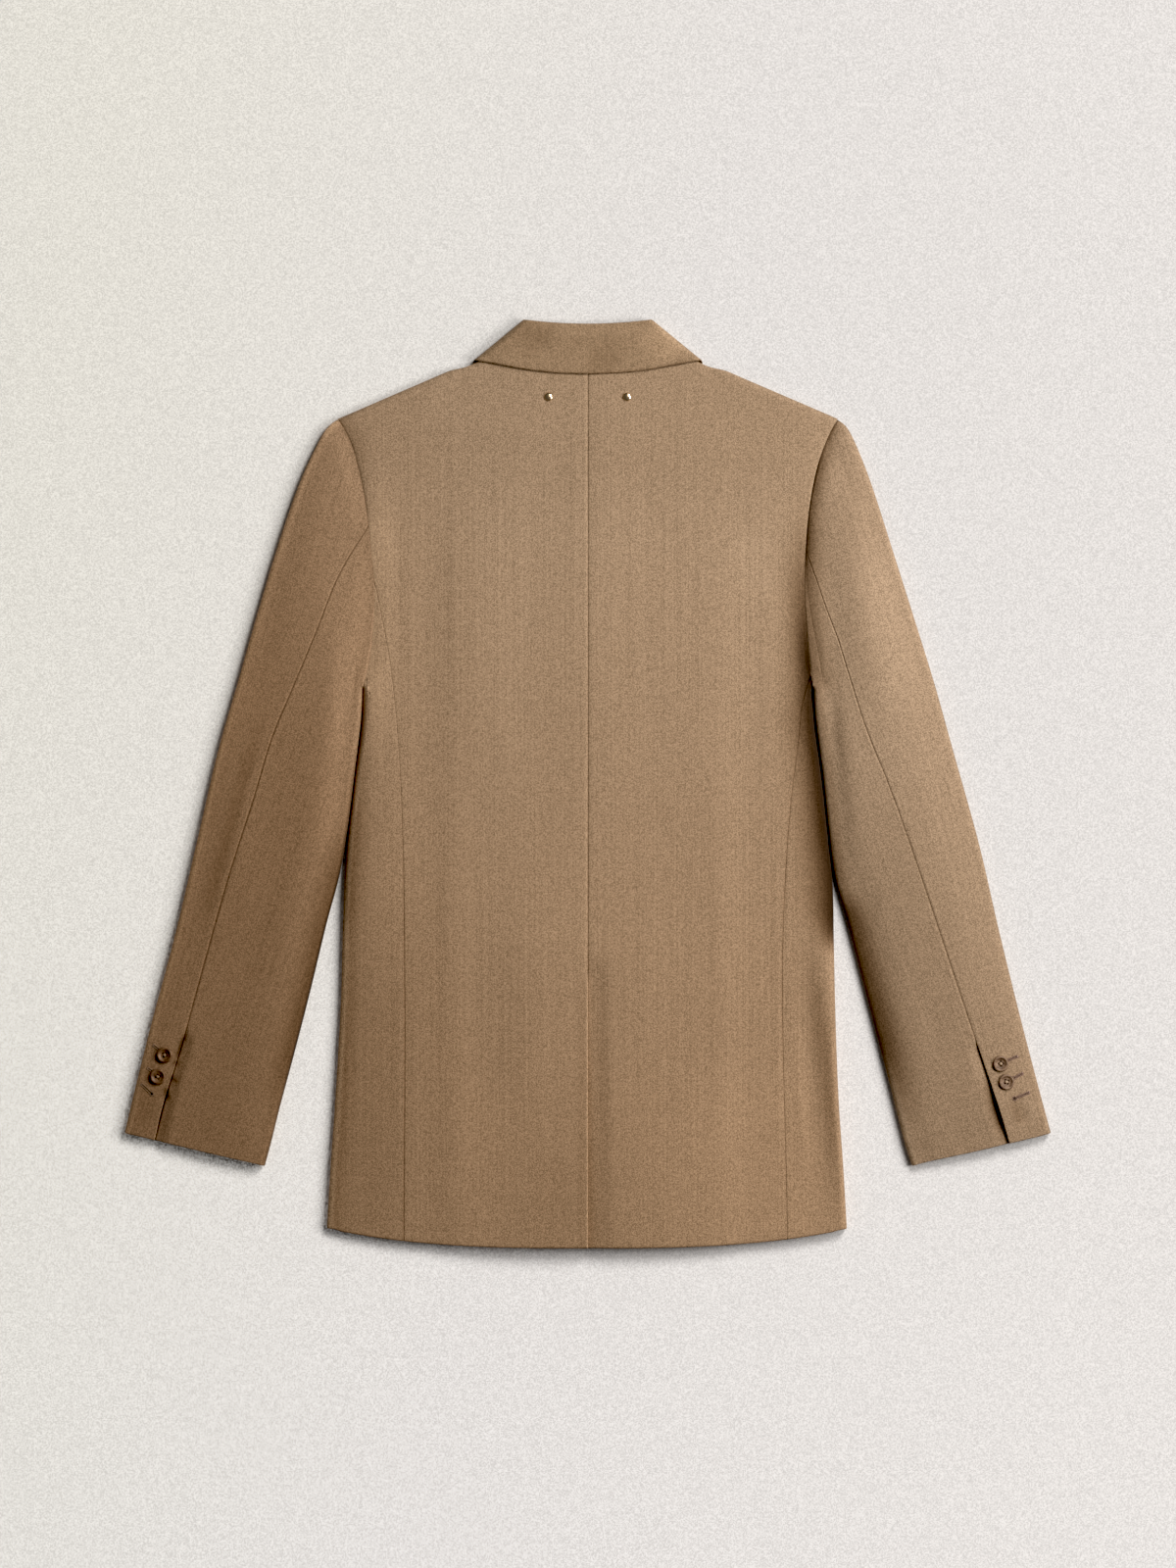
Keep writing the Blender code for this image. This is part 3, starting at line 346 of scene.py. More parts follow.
def mix(a, b, share):
    return a + (b - a) * share


def blend(a, b, share):
    """The point at a share of the way from a to b."""
    return mix(a, b, np.asarray(share)[..., None])


def swing(start, end, share):
    """Unit vectors swung from one direction to another by a share of the angle between them."""
    angle = np.arccos(np.clip(np.sum(start * end, axis=-1, keepdims=True), -1, 1))
    return (start * np.sin((1 - share) * angle) + end * np.sin(share * angle)) / np.sin(angle)


def coons(top, bottom, inner, outer, u, v):
    """The patch between four edges: both pairs blended across, less the blend of the four corners."""
    zero, one = np.zeros(1), np.ones(1)
    corners = blend(blend(top(zero), top(one), u), blend(bottom(zero), bottom(one), u), v)
    return blend(top(u), bottom(u), v) + blend(inner(v), outer(v), u) - corners


def ladder(start, end, step, near_start=(), near_end=()):
    """Places from start to end, row by row: the given steps in from each end, and even ones between.

    Where a row is too short for its closer steps, they shrink with it.
    """
    start, end = (np.atleast_1d(np.asarray(a, float))[:, None] for a in (start, end))
    span = end - start
    near_start, near_end = np.array([0, *near_start]), np.array([0, *near_end])
    scale = np.minimum(1, 0.45 * np.abs(span) / max(near_start[-1], near_end[-1], 1e-6)) * np.sign(span)
    first = start + near_start * scale
    last = end - near_end[::-1] * scale
    count = max(2, round(float(np.abs(last[:, 0] - first[:, -1]).max()) / step))
    between = np.linspace(0, 1, count + 1)[1:-1]
    return np.concatenate([first, mix(first[:, -1:], last[:, :1], between), last], axis=1)


def hem_y(x):
    return HEM_Y + HEM_CURVE * (np.abs(x) / HEM_HALF) ** 3


def shoulder_y(x):
    """The shoulder line, with a small dip where the collar wraps over it."""
    return SHOULDER_Y + SHOULDER_SLOPE * (SHOULDER_X - x) - 3.0 * smooth(x, 120, 100)


def neckline_y(x):
    return NECK_Y + (shoulder_y(NECK_X) - NECK_Y) * (x / NECK_X) ** 2


def roll_line_y(x):
    return ROLL_LINE_Y + ROLL_LINE_RISE * (x / COLLAR_TOP_X) ** 2


def back_edge_x(side, y):
    """The outer edge of half of the back: the armhole, then the side-back seam."""
    seam = SIDE_SEAM[side]
    return np.where(y >= seam[0].y, read(ARMHOLE, y, side), read(seam, y)) - HALF_SEAM


def front_edge_x(side, y):
    """The outer edge of a front, underneath: the armhole, then the side-front seam."""
    return np.where(y >= FRONT_SEAM[0].y, read(ARMHOLE_UNDER, y, side), read(FRONT_SEAM, y)) - GAP / 2


def body_half(x, y):
    """Half of the body's width at a height: to the armhole, and below it to the side fold."""
    left = np.where(y >= UNDERARM_Y, read(ARMHOLE, y, "left"), read(SIDE_FOLD, y, "left"))
    right = np.where(y >= UNDERARM_Y, read(ARMHOLE, y, "right"), read(SIDE_FOLD, y, "right"))
    return np.where(x < 0, left, right)


# ---------------------------------------------------------------- heights

def folds(table, x, y):
    """Height of soft creases: each is a line with a bell-shaped profile across it, fading at both ends."""
    total = 0 * x
    for f in table:
        length = math.hypot(f.x1 - f.x0, f.y1 - f.y0)
        ux, uy = (f.x1 - f.x0) / length, (f.y1 - f.y0) / length
        along = ((x - f.x0) * ux + (y - f.y0) * uy) / length
        across = (x - f.x0) * uy - (y - f.y0) * ux
        ends = smooth(along, -0.15, 0.25) * smooth(along, 1.15, 0.75)
        total = total + f.height * ends * bell(across, f.width)
    return total


def ripples(x, y):
    """The slow unevenness of pressed wool: a few long waves of a third of a millimetre, summed."""
    return 0.12 * (
        np.sin(x / 13 + 1.3 * np.sin(y / 90)) + np.sin(x / 21 - y / 160 + 2) + np.sin(y / 34 + x / 70)
    )


def body_loft(x, y):
    """The body's loft: a height for each y times the share of it that is left so far from the centre."""
    share = np.clip(x / body_half(x, y), -1, 1)
    knots = column(BODY_ACROSS, "share")
    high, low = (spline(knots, column(BODY_ACROSS, name), share) for name in ("high", "low"))
    height = spline(column(BODY_LOFT, "y"), column(BODY_LOFT, "height"), y)
    return height * mix(high, low, smooth(y, 40, -220))


def under_collar(x, y):
    """1 where the collar lies on the back, 0 away from it."""
    return smooth(np.abs(x), 136, 106) * smooth(y, 298, 334)


def plain_level(x, y):
    """Height of the solids' upper face, without the loft and the vent's underlap."""
    over_fronts = smooth(np.abs(x), 140, 106) * smooth(y, 250, 180)
    return LEVEL + FRONTS_RISE * over_fronts - COLLAR_SINK * under_collar(x, y)


def body_level(x, y):
    """Height of the upper face of the back and the side bodies: layers below, loft and creases."""
    wide = np.abs(x)
    over_vent = smooth(wide, 110, 34) * smooth(y, -84, -162)
    free = 1 - under_collar(x, y)
    inside = smooth(np.clip(wide / body_half(x, y), 0, 1), 1, 0.93)
    inside = mix(inside, 1, smooth(y, 40, -20))
    creased = (folds(BODY_FOLDS, x, y) + ripples(x, y)) * inside
    return plain_level(x, y) + VENT_RISE * over_vent + (body_loft(x, y) + creased) * free


def neck_lift(width):
    """Height of the fronts' lower face at the shoulder line: the collar lies under them near the neck."""
    return TURNED * smooth(width, 136, 112)


def shoulder_turn(width):
    """How far the shoulder rolls over: not under the collar, and fully outside it."""
    return smooth(width, 84, 104)


def button_rise(width, y):
    """Height of the outer front's lower face: a flat-topped rise over each front button."""
    rise = 0 * width
    for across in (-FRONT_BUTTON_X, FRONT_BUTTON_X):
        for row in FRONT_BUTTON_ROWS:
            far_x = smooth(np.abs(width - across), 2 * BUTTON_RISE_FLAT, BUTTON_RISE_FLAT)
            far_y = smooth(np.abs(y - row), 2 * BUTTON_RISE_FLAT, BUTTON_RISE_FLAT)
            rise = rise + (FRONT_BUTTON_THICK + GAP) * far_x * far_y
    return rise


def dip(distance, depth, width):
    """How far cloth is pulled down beside a seam: it dies away with the distance from it."""
    return depth * np.exp(-np.clip(distance, 0, None) / width)


def valley(side, on_sleeve, to_hole, y):
    """How far cloth sinks beside the armhole seam, which fades out low down on the left."""
    if side == "left":
        seen = smooth(y, 212, 236)
        return dip(to_hole, 0.5, 0.9) * (0.08 + 0.92 * seen) + dip(to_hole, 1.3, 9) * seen
    if on_sleeve:
        return dip(to_hole, 0.6, 0.9) + dip(to_hole, 2.4, 8)
    high = smooth(y, 150, 240)
    return dip(to_hole, 0.6, 0.9) + dip(to_hole, 0.4, 2) * high + dip(to_hole, 2.8, 7) * (1 - high)


def body_painted_light_and_shade(x, y):
    """Painted shade and painted light on the body: darker beside the sleeves, high up and along its hem, and
    the strips of its table.
    """
    beside = body_half(x, y) - np.abs(x)
    reach = mix(10, mix(21, 15, smooth(y, 40, 140)), smooth(y, -150, -90))
    right = -mix(0.8, 0.75, smooth(y, 60, 140)) * bell(beside, reach)
    right = right * smooth(y, 270, 120) * smooth(y, -152, -112)
    left = (-0.14 * smooth(y, 250, 290) - 0.26 * smooth(y, 80, 0)) * bell(beside, 12)
    left = left - 0.22 * smooth(y, 0, -40) * smooth(y, -140, -100) * bell(beside, 20)
    high = -0.08 * smooth(y, 190, 290)
    tone = 1 + folds(BODY_PAINTED_LIGHT_AND_SHADE, x, y) + high + np.where(x > 0, right, left) - 0.3 * bell(y - hem_y(x), 1.5)
    # painted shade where the right sleeve's shadow falls on the body's side
    hidden = (x > 0) * smooth(y, 150, 100) * smooth(y, -146, -124)
    return tone * (1 - 0.6 * hidden * bell(beside, 8))


def sleeve_painted_light_and_shade(side, x, y, from_inner):
    """Painted shade and painted light on a sleeve: darker along the armhole, towards its inner fold and at
    its cuff.
    """
    beside = np.where(y > UNDERARM_Y, np.abs(x) - body_half(x, y), from_inner)
    down = np.minimum(SLEEVE_DOWN, beside)
    if side == "right":
        shade = -0.5 * smooth(y, 250, 150) * bell(beside, 15) * smooth(y, 40, 100)
        shade = shade - (0.45 * bell(down, 1.5) + 0.24 * bell(down, 9)) * smooth(y, 150, 220)
        shade = shade - 0.3 * bell(down, 8) * smooth(y, 150, 210) * smooth(y, 295, 260)
        shade = shade - 0.5 * smooth(y, 100, 40) * smooth(y, -120, -60) * bell(from_inner, 8)
        low = smooth(y, -80, -115)
        inward = mix(0.2, 0.72, low) * bell(from_inner, mix(13, 19, low)) * smooth(y, -30, -80)
        shade = shade - inward * smooth(y, -300, -215) - 0.06 * smooth(y, 60, -160)
    else:
        at_fold = 0.2 * bell(from_inner, 5) + 0.35 * bell(from_inner, 1.6)
        shade = -smooth(y, 60, -20) * at_fold - 0.06 * smooth(y, 60, -160)
        shade = shade - 0.33 * smooth(y, -20, -80) * smooth(y, -300, -220) * bell(from_inner, 17)
        shade = shade + (0.13 * bell(down - 8, 7) - 0.2 * bell(down, 1.0)) * smooth(y, 200, 236)
    return 1 + folds(SLEEVE_PAINTED_LIGHT_AND_SHADE[side], x, y) + shade


def painted_light_at_fold(distance, more):
    """Painted light: what the tone is multiplied by near a fold, on the side that the lamps barely reach."""
    return 1 + more * smooth(distance, 6.5, 1)


def rounded(distance, radius=EDGE_ROUND):
    """How far each face of a turned edge closes in on the other: a quarter circle over its last part."""
    t = 1 - np.clip(distance / radius, 0.02, 1)
    return radius * (1 - np.sqrt(1 - t * t))


# ---------------------------------------------------------------- meshes

PIECES = {}
FINISH = {}

DARKEST_TONE = 0.05
# Painted light: the tone makes up for the lamps' falloff, with its level and its slope for each millimetre
# of x and y
EVEN_PAINTED_LIGHT = 1.002
EVEN_PAINTED_LIGHT_SLOPE = (-0.000257, -0.00001)


def shown(name, data):
    """An object of this data, in the scene."""
    obj = bpy.data.objects.new(name, data)
    bpy.context.scene.collection.objects.link(obj)
    return obj


def new_piece(name, points, faces, finish):
    """A smooth-shaded piece from points in metres, in its finish, which rides on the garment."""
    mesh = bpy.data.meshes.new(name)
    mesh.from_pydata(points, [], faces)
    mesh.shade_smooth()
    mesh.materials.append(FINISH[finish])
    obj = shown(name, mesh)
    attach(obj, "root")
    return obj


def open_edges(quads):
    """The directed edges that only one quad has, as two arrays of vertex numbers."""
    a, b = quads.ravel(), np.roll(quads, -1, axis=1).ravel()
    most = int(quads.max()) + 1
    alone = ~np.isin(a * most + b, b * most + a)
    return a[alone], b[alone]


def cloth(name, outer, inner, weave, flip=False, keep=None, finish="wool", tone=1.0):
    """A wall of cloth between its outer and inner faces, two grids of points in millimetres.

    weave is a grid of (weft, warp) distances, which goes into the UV map, in metres, and tone a grid of
    painted
    light and shade: how much paler or darker the colour is painted, 1 where it is plain.
    """
    rows, columns = outer.shape[:2]
    index = np.arange(rows * columns).reshape(rows, columns)
    quads = np.stack([index[:-1, :-1], index[1:, :-1], index[1:, 1:], index[:-1, 1:]], axis=-1)
    quads = quads.reshape(-1, 4) if keep is None else quads[keep]
    if flip:
        quads = quads[:, ::-1]
    a, b = open_edges(quads)
    rim = np.stack([b, a, a + index.size, b + index.size], axis=-1)
    faces = np.concatenate([quads, quads[:, ::-1] + index.size, rim])
    used, faces = np.unique(faces, return_inverse=True)
    faces = faces.reshape(-1, 4)
    points = np.concatenate([outer.reshape(-1, 3), inner.reshape(-1, 3)])[used] * MM
    threads = np.concatenate([weave.reshape(-1, 2)] * 2)[used] * MM
    obj = new_piece("cloth_" + name, points, faces, finish)
    mesh = obj.data
    uv = mesh.uv_layers.new(name="weave")
    uv.data.foreach_set("uv", threads[faces.ravel()].astype(np.float32).ravel())
    # painted light that evens out the lamps' falloff, into the tone attribute of painted light and shade
    tone = tone * (EVEN_PAINTED_LIGHT + outer[..., :2] @ EVEN_PAINTED_LIGHT_SLOPE)
    tones = np.concatenate([np.maximum(tone, DARKEST_TONE).ravel()] * 2)[used]
    mesh.attributes.new("tone", "FLOAT", "POINT").data.foreach_set("value", tones.astype(np.float32))
    PIECES[name] = obj
    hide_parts(name)
    return obj


def placed(side, plan, height):
    """Points of a named side from their widths, y and heights."""
    x = plan[..., 0] * SIGN[side]
    return np.stack([x, plan[..., 1], np.broadcast_to(height, x.shape)], axis=-1)


def leaving_fold(edge, normal, target, distance, reach=2.5 * ROLL):
    """Plan points at a distance from a fold: squarely in from it, then over to the line to the target."""
    width = np.linalg.norm(target - edge, axis=-1)
    ruled = blend(edge, target, distance / width)
    square = edge + normal * distance[..., None]
    return blend(square, ruled, smooth(distance, ROLL, np.minimum(reach, 0.9 * width)))


def grain(plan, fold, on_top, degrees=0):
    """Distances across and along the cloth's grain, which is turned from y: the lower layer is mirrored."""
    weft, warp = direction(degrees), direction(degrees + 90)
    across = plan @ weft
    return np.stack([np.where(on_top, across, 2 * (fold @ weft) - across), plan @ warp], axis=-1)


def over_edge(runs):
    """The rows of a strip that turns over an edge and runs on: how far down each is, and its angle."""
    flat = math.pi / 2
    down = np.concatenate([np.zeros(ROLL_STEPS + 1), runs])
    angle = np.concatenate([np.linspace(0, flat, ROLL_STEPS + 1), np.full(len(runs), flat)])
    return down[:, None], angle[:, None]


def over_fold(upper, lower):
    """The columns of a strip that turns over a fold: angles round it, and how far each is beyond the turn.

    The angle is a right angle on the upper layer, 0 at the fold and minus a right angle on the lower one.
    """
    flat = math.pi / 2
    turning = np.linspace(flat, -flat, 2 * ROLL_STEPS + 1)[1:-1]
    angle = np.concatenate([np.full(upper.shape[1], flat), turning, np.full(lower.shape[1], -flat)])
    run = np.concatenate([upper - ROLL, np.zeros((len(upper), len(turning))), lower - ROLL], axis=1)
    return angle, run


def from_fold(angle, run, depth):
    """Distance from a fold of a point at this depth in the wall."""
    return ROLL * (1 - np.cos(angle)) + depth * np.cos(angle) + run


# ---------------------------------------------------------------- back

def seam_painted_shade(side, y):
    """Painted shade in a side-back seam: how dark it looks, less high up."""
    if side == "left":
        return 0.2 + 0.14 * smooth(y, -20, -120) - 0.16 * smooth(y, -60, 20)
    return 0.2 - 0.12 * smooth(y, -60, 20)


def back_half(side):
    """Half of the back: a patch between centre seam, neck and shoulder, armhole and side seam, and hem."""
    seam = SIDE_SEAM[side]
    widths = ladder(HALF_SEAM, SHOULDER_X - HALF_SEAM, STEP, NEAR_SEAM, NEAR_SEAM)[0]
    across = (widths - widths[0]) / np.ptp(widths)
    end_y = hem_y(seam[-1].x)
    levels = ladder(SHOULDER_Y - 5.5, end_y, STEP + 0.4, (), NEAR_SEAM[:4])[0]
    down, angle = over_edge((SHOULDER_Y - levels) / (SHOULDER_Y - end_y))
    turned = shoulder_turn(widths)

    def top(share):
        x = mix(widths[0], widths[-1], share)
        return point(x, np.where(x < NECK_X, neckline_y(x), shoulder_y(x)))

    def bottom(share):
        x = mix(widths[0], back_edge_x(side, end_y), share)
        return point(x, hem_y(x))

    def inner(share):
        return point(widths[0], mix(NECK_Y, HEM_Y, share))

    def outer(share):
        y = mix(SHOULDER_Y, end_y, share)
        return point(back_edge_x(side, y), y)

    def face(depth):
        reach = ROLL * (1 - np.cos(angle)) + depth * np.cos(angle) * turned
        v = down + reach * (down == 0) / (top(across)[:, 1] - HEM_Y)
        plan = coons(top, bottom, inner, outer, np.broadcast_to(across, v.shape), v)
        level = body_level(plan[..., 0] * SIGN[side], plan[..., 1])
        seam_z = (level + neck_lift(widths)) / 2 + GAP / 2 * turned
        height = seam_z + (1 - turned * (1 - np.sin(angle))) * (level - depth - seam_z)
        return plan, height

    plan, _ = face(np.zeros((len(down), len(widths))))
    wide, y = plan[..., 0], plan[..., 1]
    to_side = back_edge_x(side, y) - wide
    armhole = smooth(y, seam[0].y - 12, seam[0].y + 6)
    sunk = mix(dip(to_side, 0.22, 0.7), valley(side, False, to_side, y), armhole) + rounded(y - hem_y(wide))
    tone = body_painted_light_and_shade(wide * SIGN[side], y) - seam_painted_shade(side, y) * bell(to_side, 0.7) * (1 - armhole)
    return face, wide, y, sunk, tone


def back_left():
    face, wide, y, sunk, tone = back_half("left")
    folded = smooth(y, VENT_TOP + 4, VENT_TOP - 2)
    to_centre = wide - HALF_SEAM
    outer = sunk + mix(dip(to_centre, 0.75, 0.9), rounded(to_centre), folded)
    outer = outer - folded * dip(to_centre, 0.25, 4)      # the pressed edge of the vent stands up a little
    inner = CLOTH_WALL - rounded(y - hem_y(wide)) - folded * rounded(to_centre) + 0.4 * dip(to_centre, 1, 2)
    plan, _ = face(outer)
    # painted light along the vent's pressed edge, and painted shade just beside it
    tone = tone + folded * (0.22 * bell(to_centre, 0.9) - 0.08 * bell(to_centre - 5, 3))
    walls = [placed("left", *face(depth)) for depth in (outer, inner)]
    cloth("back_left", *walls, plan * [-1, 1], flip=True, tone=tone)


def back_right():
    """The right half, with the vent's underlap running on below the left half."""
    face, wide, y, sunk, tone = back_half("right")
    laps = ladder(-VENT_LAP, -GAP, HIDDEN_STEP, NEAR_SEAM[:3], ())[0]
    above = smooth(y, VENT_TOP - 2, VENT_TOP + 4)
    to_centre = wide - HALF_SEAM
    walls = []
    for depth in (
        sunk + above * dip(to_centre, 0.75, 0.9),
        CLOTH_WALL - rounded(y - hem_y(wide)) + 0.4 * dip(to_centre, 1, 2),
    ):
        plan, height = face(depth)
        lap = point(laps, plan[:, :1, 1])
        lap_depth = depth[:, :1] + 0 * laps
        plan = np.concatenate([lap, plan], axis=1)
        height = np.concatenate([body_level(lap[..., 0], lap[..., 1]) - lap_depth, height], axis=1)
        drop = TURNED * smooth(plan[..., 0], 24, HALF_SEAM) * smooth(plan[..., 1], VENT_TOP + 22, VENT_TOP)
        walls.append(placed("right", plan, height - drop))
    keep = np.ones(np.array(walls[0].shape[:2]) - 1, bool)
    keep[:, : len(laps)] = (walls[0][:-1, 0, 1] <= VENT_TOP)[:, None]
    # painted shade beside the vent's edge, wider towards the hem
    spread = mix(1.2, 6, smooth(y, VENT_TOP, HEM_Y))
    tone = tone - 0.22 * bell(to_centre, spread) * (1 - above)
    tone = np.concatenate([tone[:, :1] + 0 * laps, tone], axis=1)
    cloth("back_right", *walls, walls[0][..., :2], keep=keep, tone=tone)


# ---------------------------------------------------------------- side bodies

def side_body(side):
    """From the side-back seam round the side fold to the side-front seam: rows run square off the fold."""
    fold_end = SIDE_FOLD[-1].y
    rows = ladder(UNDERARM_Y, fold_end, STEP + 0.4, NEAR_SEAM, NEAR_SEAM[:4])[0]
    fold = point(read(SIDE_FOLD, rows, side), rows)[:, None]
    square = unit(point(-1, np.gradient(fold[:, 0, 0], rows)))[:, None]
    fan = np.clip((UNDERARM_Y - rows) / 8, 0, 1)[:, None, None]
    at_hole = smooth(rows, 30, UNDERARM_Y)[:, None, None]
    at_hem = smooth(rows, -120, fold_end)[:, None, None]

    def seam_points(table, hole, tip):
        knots = [tip, *column(table[1:], "y")]
        seam_y = spline(column(table, "fold_y"), knots, rows)
        seam_x = read(table, seam_y) + HALF_SEAM
        seam_x = mix(seam_x, read(hole, tip, side) - HALF_SEAM, smooth(rows, 76, UNDERARM_Y))
        return point(seam_x, seam_y)[:, None]

    ends = {
        "upper": (seam_points(SIDE_SEAM[side], ARMHOLE, SIDE_TIP[side]), ARMHOLE, SIDE_TIP[side]),
        "lower": (seam_points(FRONT_SEAM, ARMHOLE_UNDER, FRONT_TIP), ARMHOLE_UNDER, FRONT_TIP),
    }
    width = {name: np.linalg.norm(seam - fold, axis=-1)[:, 0] for name, (seam, _, _) in ends.items()}
    upper = ladder(width["upper"], np.full(len(rows), ROLL), STEP, NEAR_SEAM, ())
    lower = ladder(np.full(len(rows), ROLL), width["lower"], HIDDEN_STEP, (), NEAR_SEAM[:2])
    angle, run = over_fold(upper, lower)
    on_top = angle > 0

    def layer(name, distance):
        """The plan of a layer: along its rows, shifted onto the armhole at the top and the hem below."""
        seam, hole, tip = ends[name]
        normal = swing(unit(seam[0] - fold[0]), square, fan)
        share = distance / width[name][:, None]
        hole_y = mix(fold[0, 0, 1], tip, share)
        hole_shift = point(read(hole, hole_y, side) - HALF_SEAM, hole_y) - blend(fold[0], seam[0], share)
        end = blend(fold[-1], seam[-1], share)
        hem_shift = point(0, hem_y(end[..., 0]) - end[..., 1])
        return leaving_fold(fold, normal, seam, distance) + hole_shift * at_hole + hem_shift * at_hem

    def face(depth):
        distance = from_fold(angle, run, depth)
        plan = np.where(on_top[:, None], layer("upper", distance), layer("lower", distance))
        half = body_level(plan[..., 0] * SIGN[side], plan[..., 1]) / 2
        return placed(side, plan, half + np.sin(angle) * (half - depth))

    distance = from_fold(angle, run, 0)
    to_seam = np.where(on_top, width["upper"][:, None], width["lower"][:, None]) - distance
    plan_y = layer("upper", distance)[..., 1]
    sunk = dip(to_seam, 0.22, 0.7) + valley(side, False, UNDERARM_Y - rows[:, None] + 0 * plan_y, plan_y)
    edge = rounded(rows[:, None] - fold_end)
    outer_face = face(sunk + edge)
    weave = grain(outer_face[..., :2], fold * [SIGN[side], 1], on_top)
    # painted light and shade: the body's, painted shade in the seam, and painted light on the left side fold
    # that the lamps barely reach
    tone = body_painted_light_and_shade(outer_face[..., 0], outer_face[..., 1]) - seam_painted_shade(side, plan_y) * bell(to_seam, 0.7)
    if side == "left":
        tone = tone * painted_light_at_fold(distance, 1.4 * smooth(plan_y, 40, -20))
    cloth("side_" + side, outer_face, face(CLOTH_WALL - edge), weave, flip=side == "left", tone=tone)


# ---------------------------------------------------------------- sleeves

def sleeve_rows():
    """Rows down a sleeve, in sections of its table: even in millimetres, closer at its ends and vent."""
    index = np.arange(len(SLEEVE))
    middle = point(
        (column(SLEEVE, "outer_left") + column(SLEEVE, "inner_left")) / 2,
        (column(SLEEVE, "outer_y") + column(SLEEVE, "inner_y")) / 2,
    )
    length = np.concatenate([[0], np.cumsum(np.linalg.norm(np.diff(middle, axis=0), axis=1))])
    vent = length[VENT_ROW]
    above = ladder(0, vent, STEP + 0.2, NEAR_SEAM, (0.5, 1.2, 2.2))[0]
    below = ladder(vent, length[-1], STEP, (0.5, 1.2, 2.2), NEAR_SEAM[:4])[0]
    at = np.concatenate([above, below[1:]])
    return np.interp(at, length, index), at, length[-1]


SLEEVE_ROWS, SLEEVE_DOWN, SLEEVE_LENGTH = sleeve_rows()
SLEEVE_DOWN = SLEEVE_DOWN[:, None]


# At each row of a sleeve: its folds with the normals that point in from them, the width between the folds,
# and the share of it, from the outer fold, at which the elbow seam lies
Lines = namedtuple("Lines", "outer outer_square inner inner_square width elbow")


def sleeve_lines(side):
    """The lines of a sleeve, at each of its rows."""
    rows, index = SLEEVE_ROWS, np.arange(len(SLEEVE))

    def line(name_x, name_y, at):
        return point(spline(index, column(SLEEVE, name_x), at), spline(index, column(SLEEVE, name_y), at))

    def fold(which, inward):
        names = (which + "_" + side, which + "_y")
        step = 0.02
        after, before = np.minimum(rows + step, index[-1]), np.maximum(rows - step, 0)
        tangent = unit(line(*names, after) - line(*names, before))
        square = inward * np.stack([tangent[:, 1], -tangent[:, 0]], axis=-1)
        return line(*names, rows), square

    outer, outer_square = fold("outer", 1)
    inner, inner_square = fold("inner", -1)
    hole = unit(inner[0] - outer[0])
    inner_normal = swing(-hole, inner_square, np.clip(rows / 0.2, 0, 1)[:, None])
    elbow = spline(index, column(SLEEVE, "elbow_" + side), rows)
    width = np.linalg.norm(inner - outer, axis=-1)
    return Lines(*(part[:, None] for part in (outer, outer_square, inner, inner_normal, width, elbow)))


def sleeve_plan(side, lines, distance, hole):
    """Plan at a distance from the outer fold: square to each fold near it, and the armhole at the top.

    The change from square to the straight line between the folds is even in the logarithm of the distance,
    which keeps the rows from crossing where they slant.
    """

    def between(outer, outer_normal, inner, inner_normal, width, share):
        ruled = blend(outer, inner, share)
        near = np.log(0.48 * width[..., None])
        total = ruled
        for edge, normal, part in ((outer, outer_normal, share), (inner, inner_normal, 1 - share)):
            far = (part * width)[..., None]
            squarely = smooth(np.log(np.maximum(far, 1)), near, math.log(ROLL))
            total = total + (edge + normal * far - ruled) * squarely
        return total

    share = distance / lines.width
    hole_y = mix(SHOULDER_Y, UNDERARM_Y, share)
    first = between(*(line[:1] for line in lines[:5]), share)
    hole_shift = point(read(hole, hole_y, side) + HALF_SEAM, hole_y) - first
    return between(*lines[:5], share) + hole_shift * smooth(SLEEVE_ROWS, 3.2, 0)[:, None, None]


def sleeve_level(side, plan, share):
    """Height of the sleeve's upper face: the body's loft at the armhole, then its own, with its creases."""
    rows = SLEEVE_ROWS[:, None]
    table = SLEEVE_ACROSS[side]
    own = spline(np.arange(len(SLEEVE_LOFT)), SLEEVE_LOFT, rows)
    own = own * spline(column(table, "share"), column(table, "height"), share)
    x, y = plan[..., 0] * SIGN[side], plan[..., 1]
    inside = smooth(share, 0.02, 0.12) * smooth(share, 1, 0.92) * smooth(rows, 0, 1)
    return (
        LEVEL
        + mix(body_loft(x, y), own, smooth(rows, 0, 3.4))
        + (folds(SLEEVE_FOLDS[side], x, y) + ripples(x, y)) * inside
    )


def sleeve_face(side, lines, angle, distance, depth, lift=0.0):
    """Points of a piece of sleeve: upper columns end on the armhole that shows, lower ones on the other."""
    on_top = (angle >= 0)[:, None]
    upper, lower = (sleeve_plan(side, lines, distance, hole) for hole in (ARMHOLE, ARMHOLE_UNDER))
    plan = np.where(on_top, upper, lower)
    half = sleeve_level(side, plan, distance / lines.width) / 2
    return placed(side, plan, half + np.sin(angle) * (half - depth) + lift)


SLEEVE_GRAIN = {"top": 16, "under": 20}         # by how many degrees the warp of each piece leans out
VENT_GAPE = {"left": 0.9, "right": 2.6}         # how far the cuff vent stands open at its middle
# painted shade under the cuff vent's edge and along the elbow seam, and painted light on a fold that is
# barely lit
VENT_SHADE = {"left": 1.4, "right": 7.0}        # how far the shade under its edge reaches
ELBOW_SHADE = {"left": 0.2, "right": 0.1}       # how dark the elbow seam looks
UNLIT_FOLD_PAINTED_LIGHT = {("top", "left"): 0.9, ("under", "right"): 0.7}    # how much paler a fold is that is barely lit


def elbow_seam(distance):
    """How far cloth sinks beside the pressed seam of a sleeve: a sharp dip with a low ridge next to it."""
    return dip(distance, 0.5, 0.8) - 0.16 * bell(distance - 2.4, 1.1)


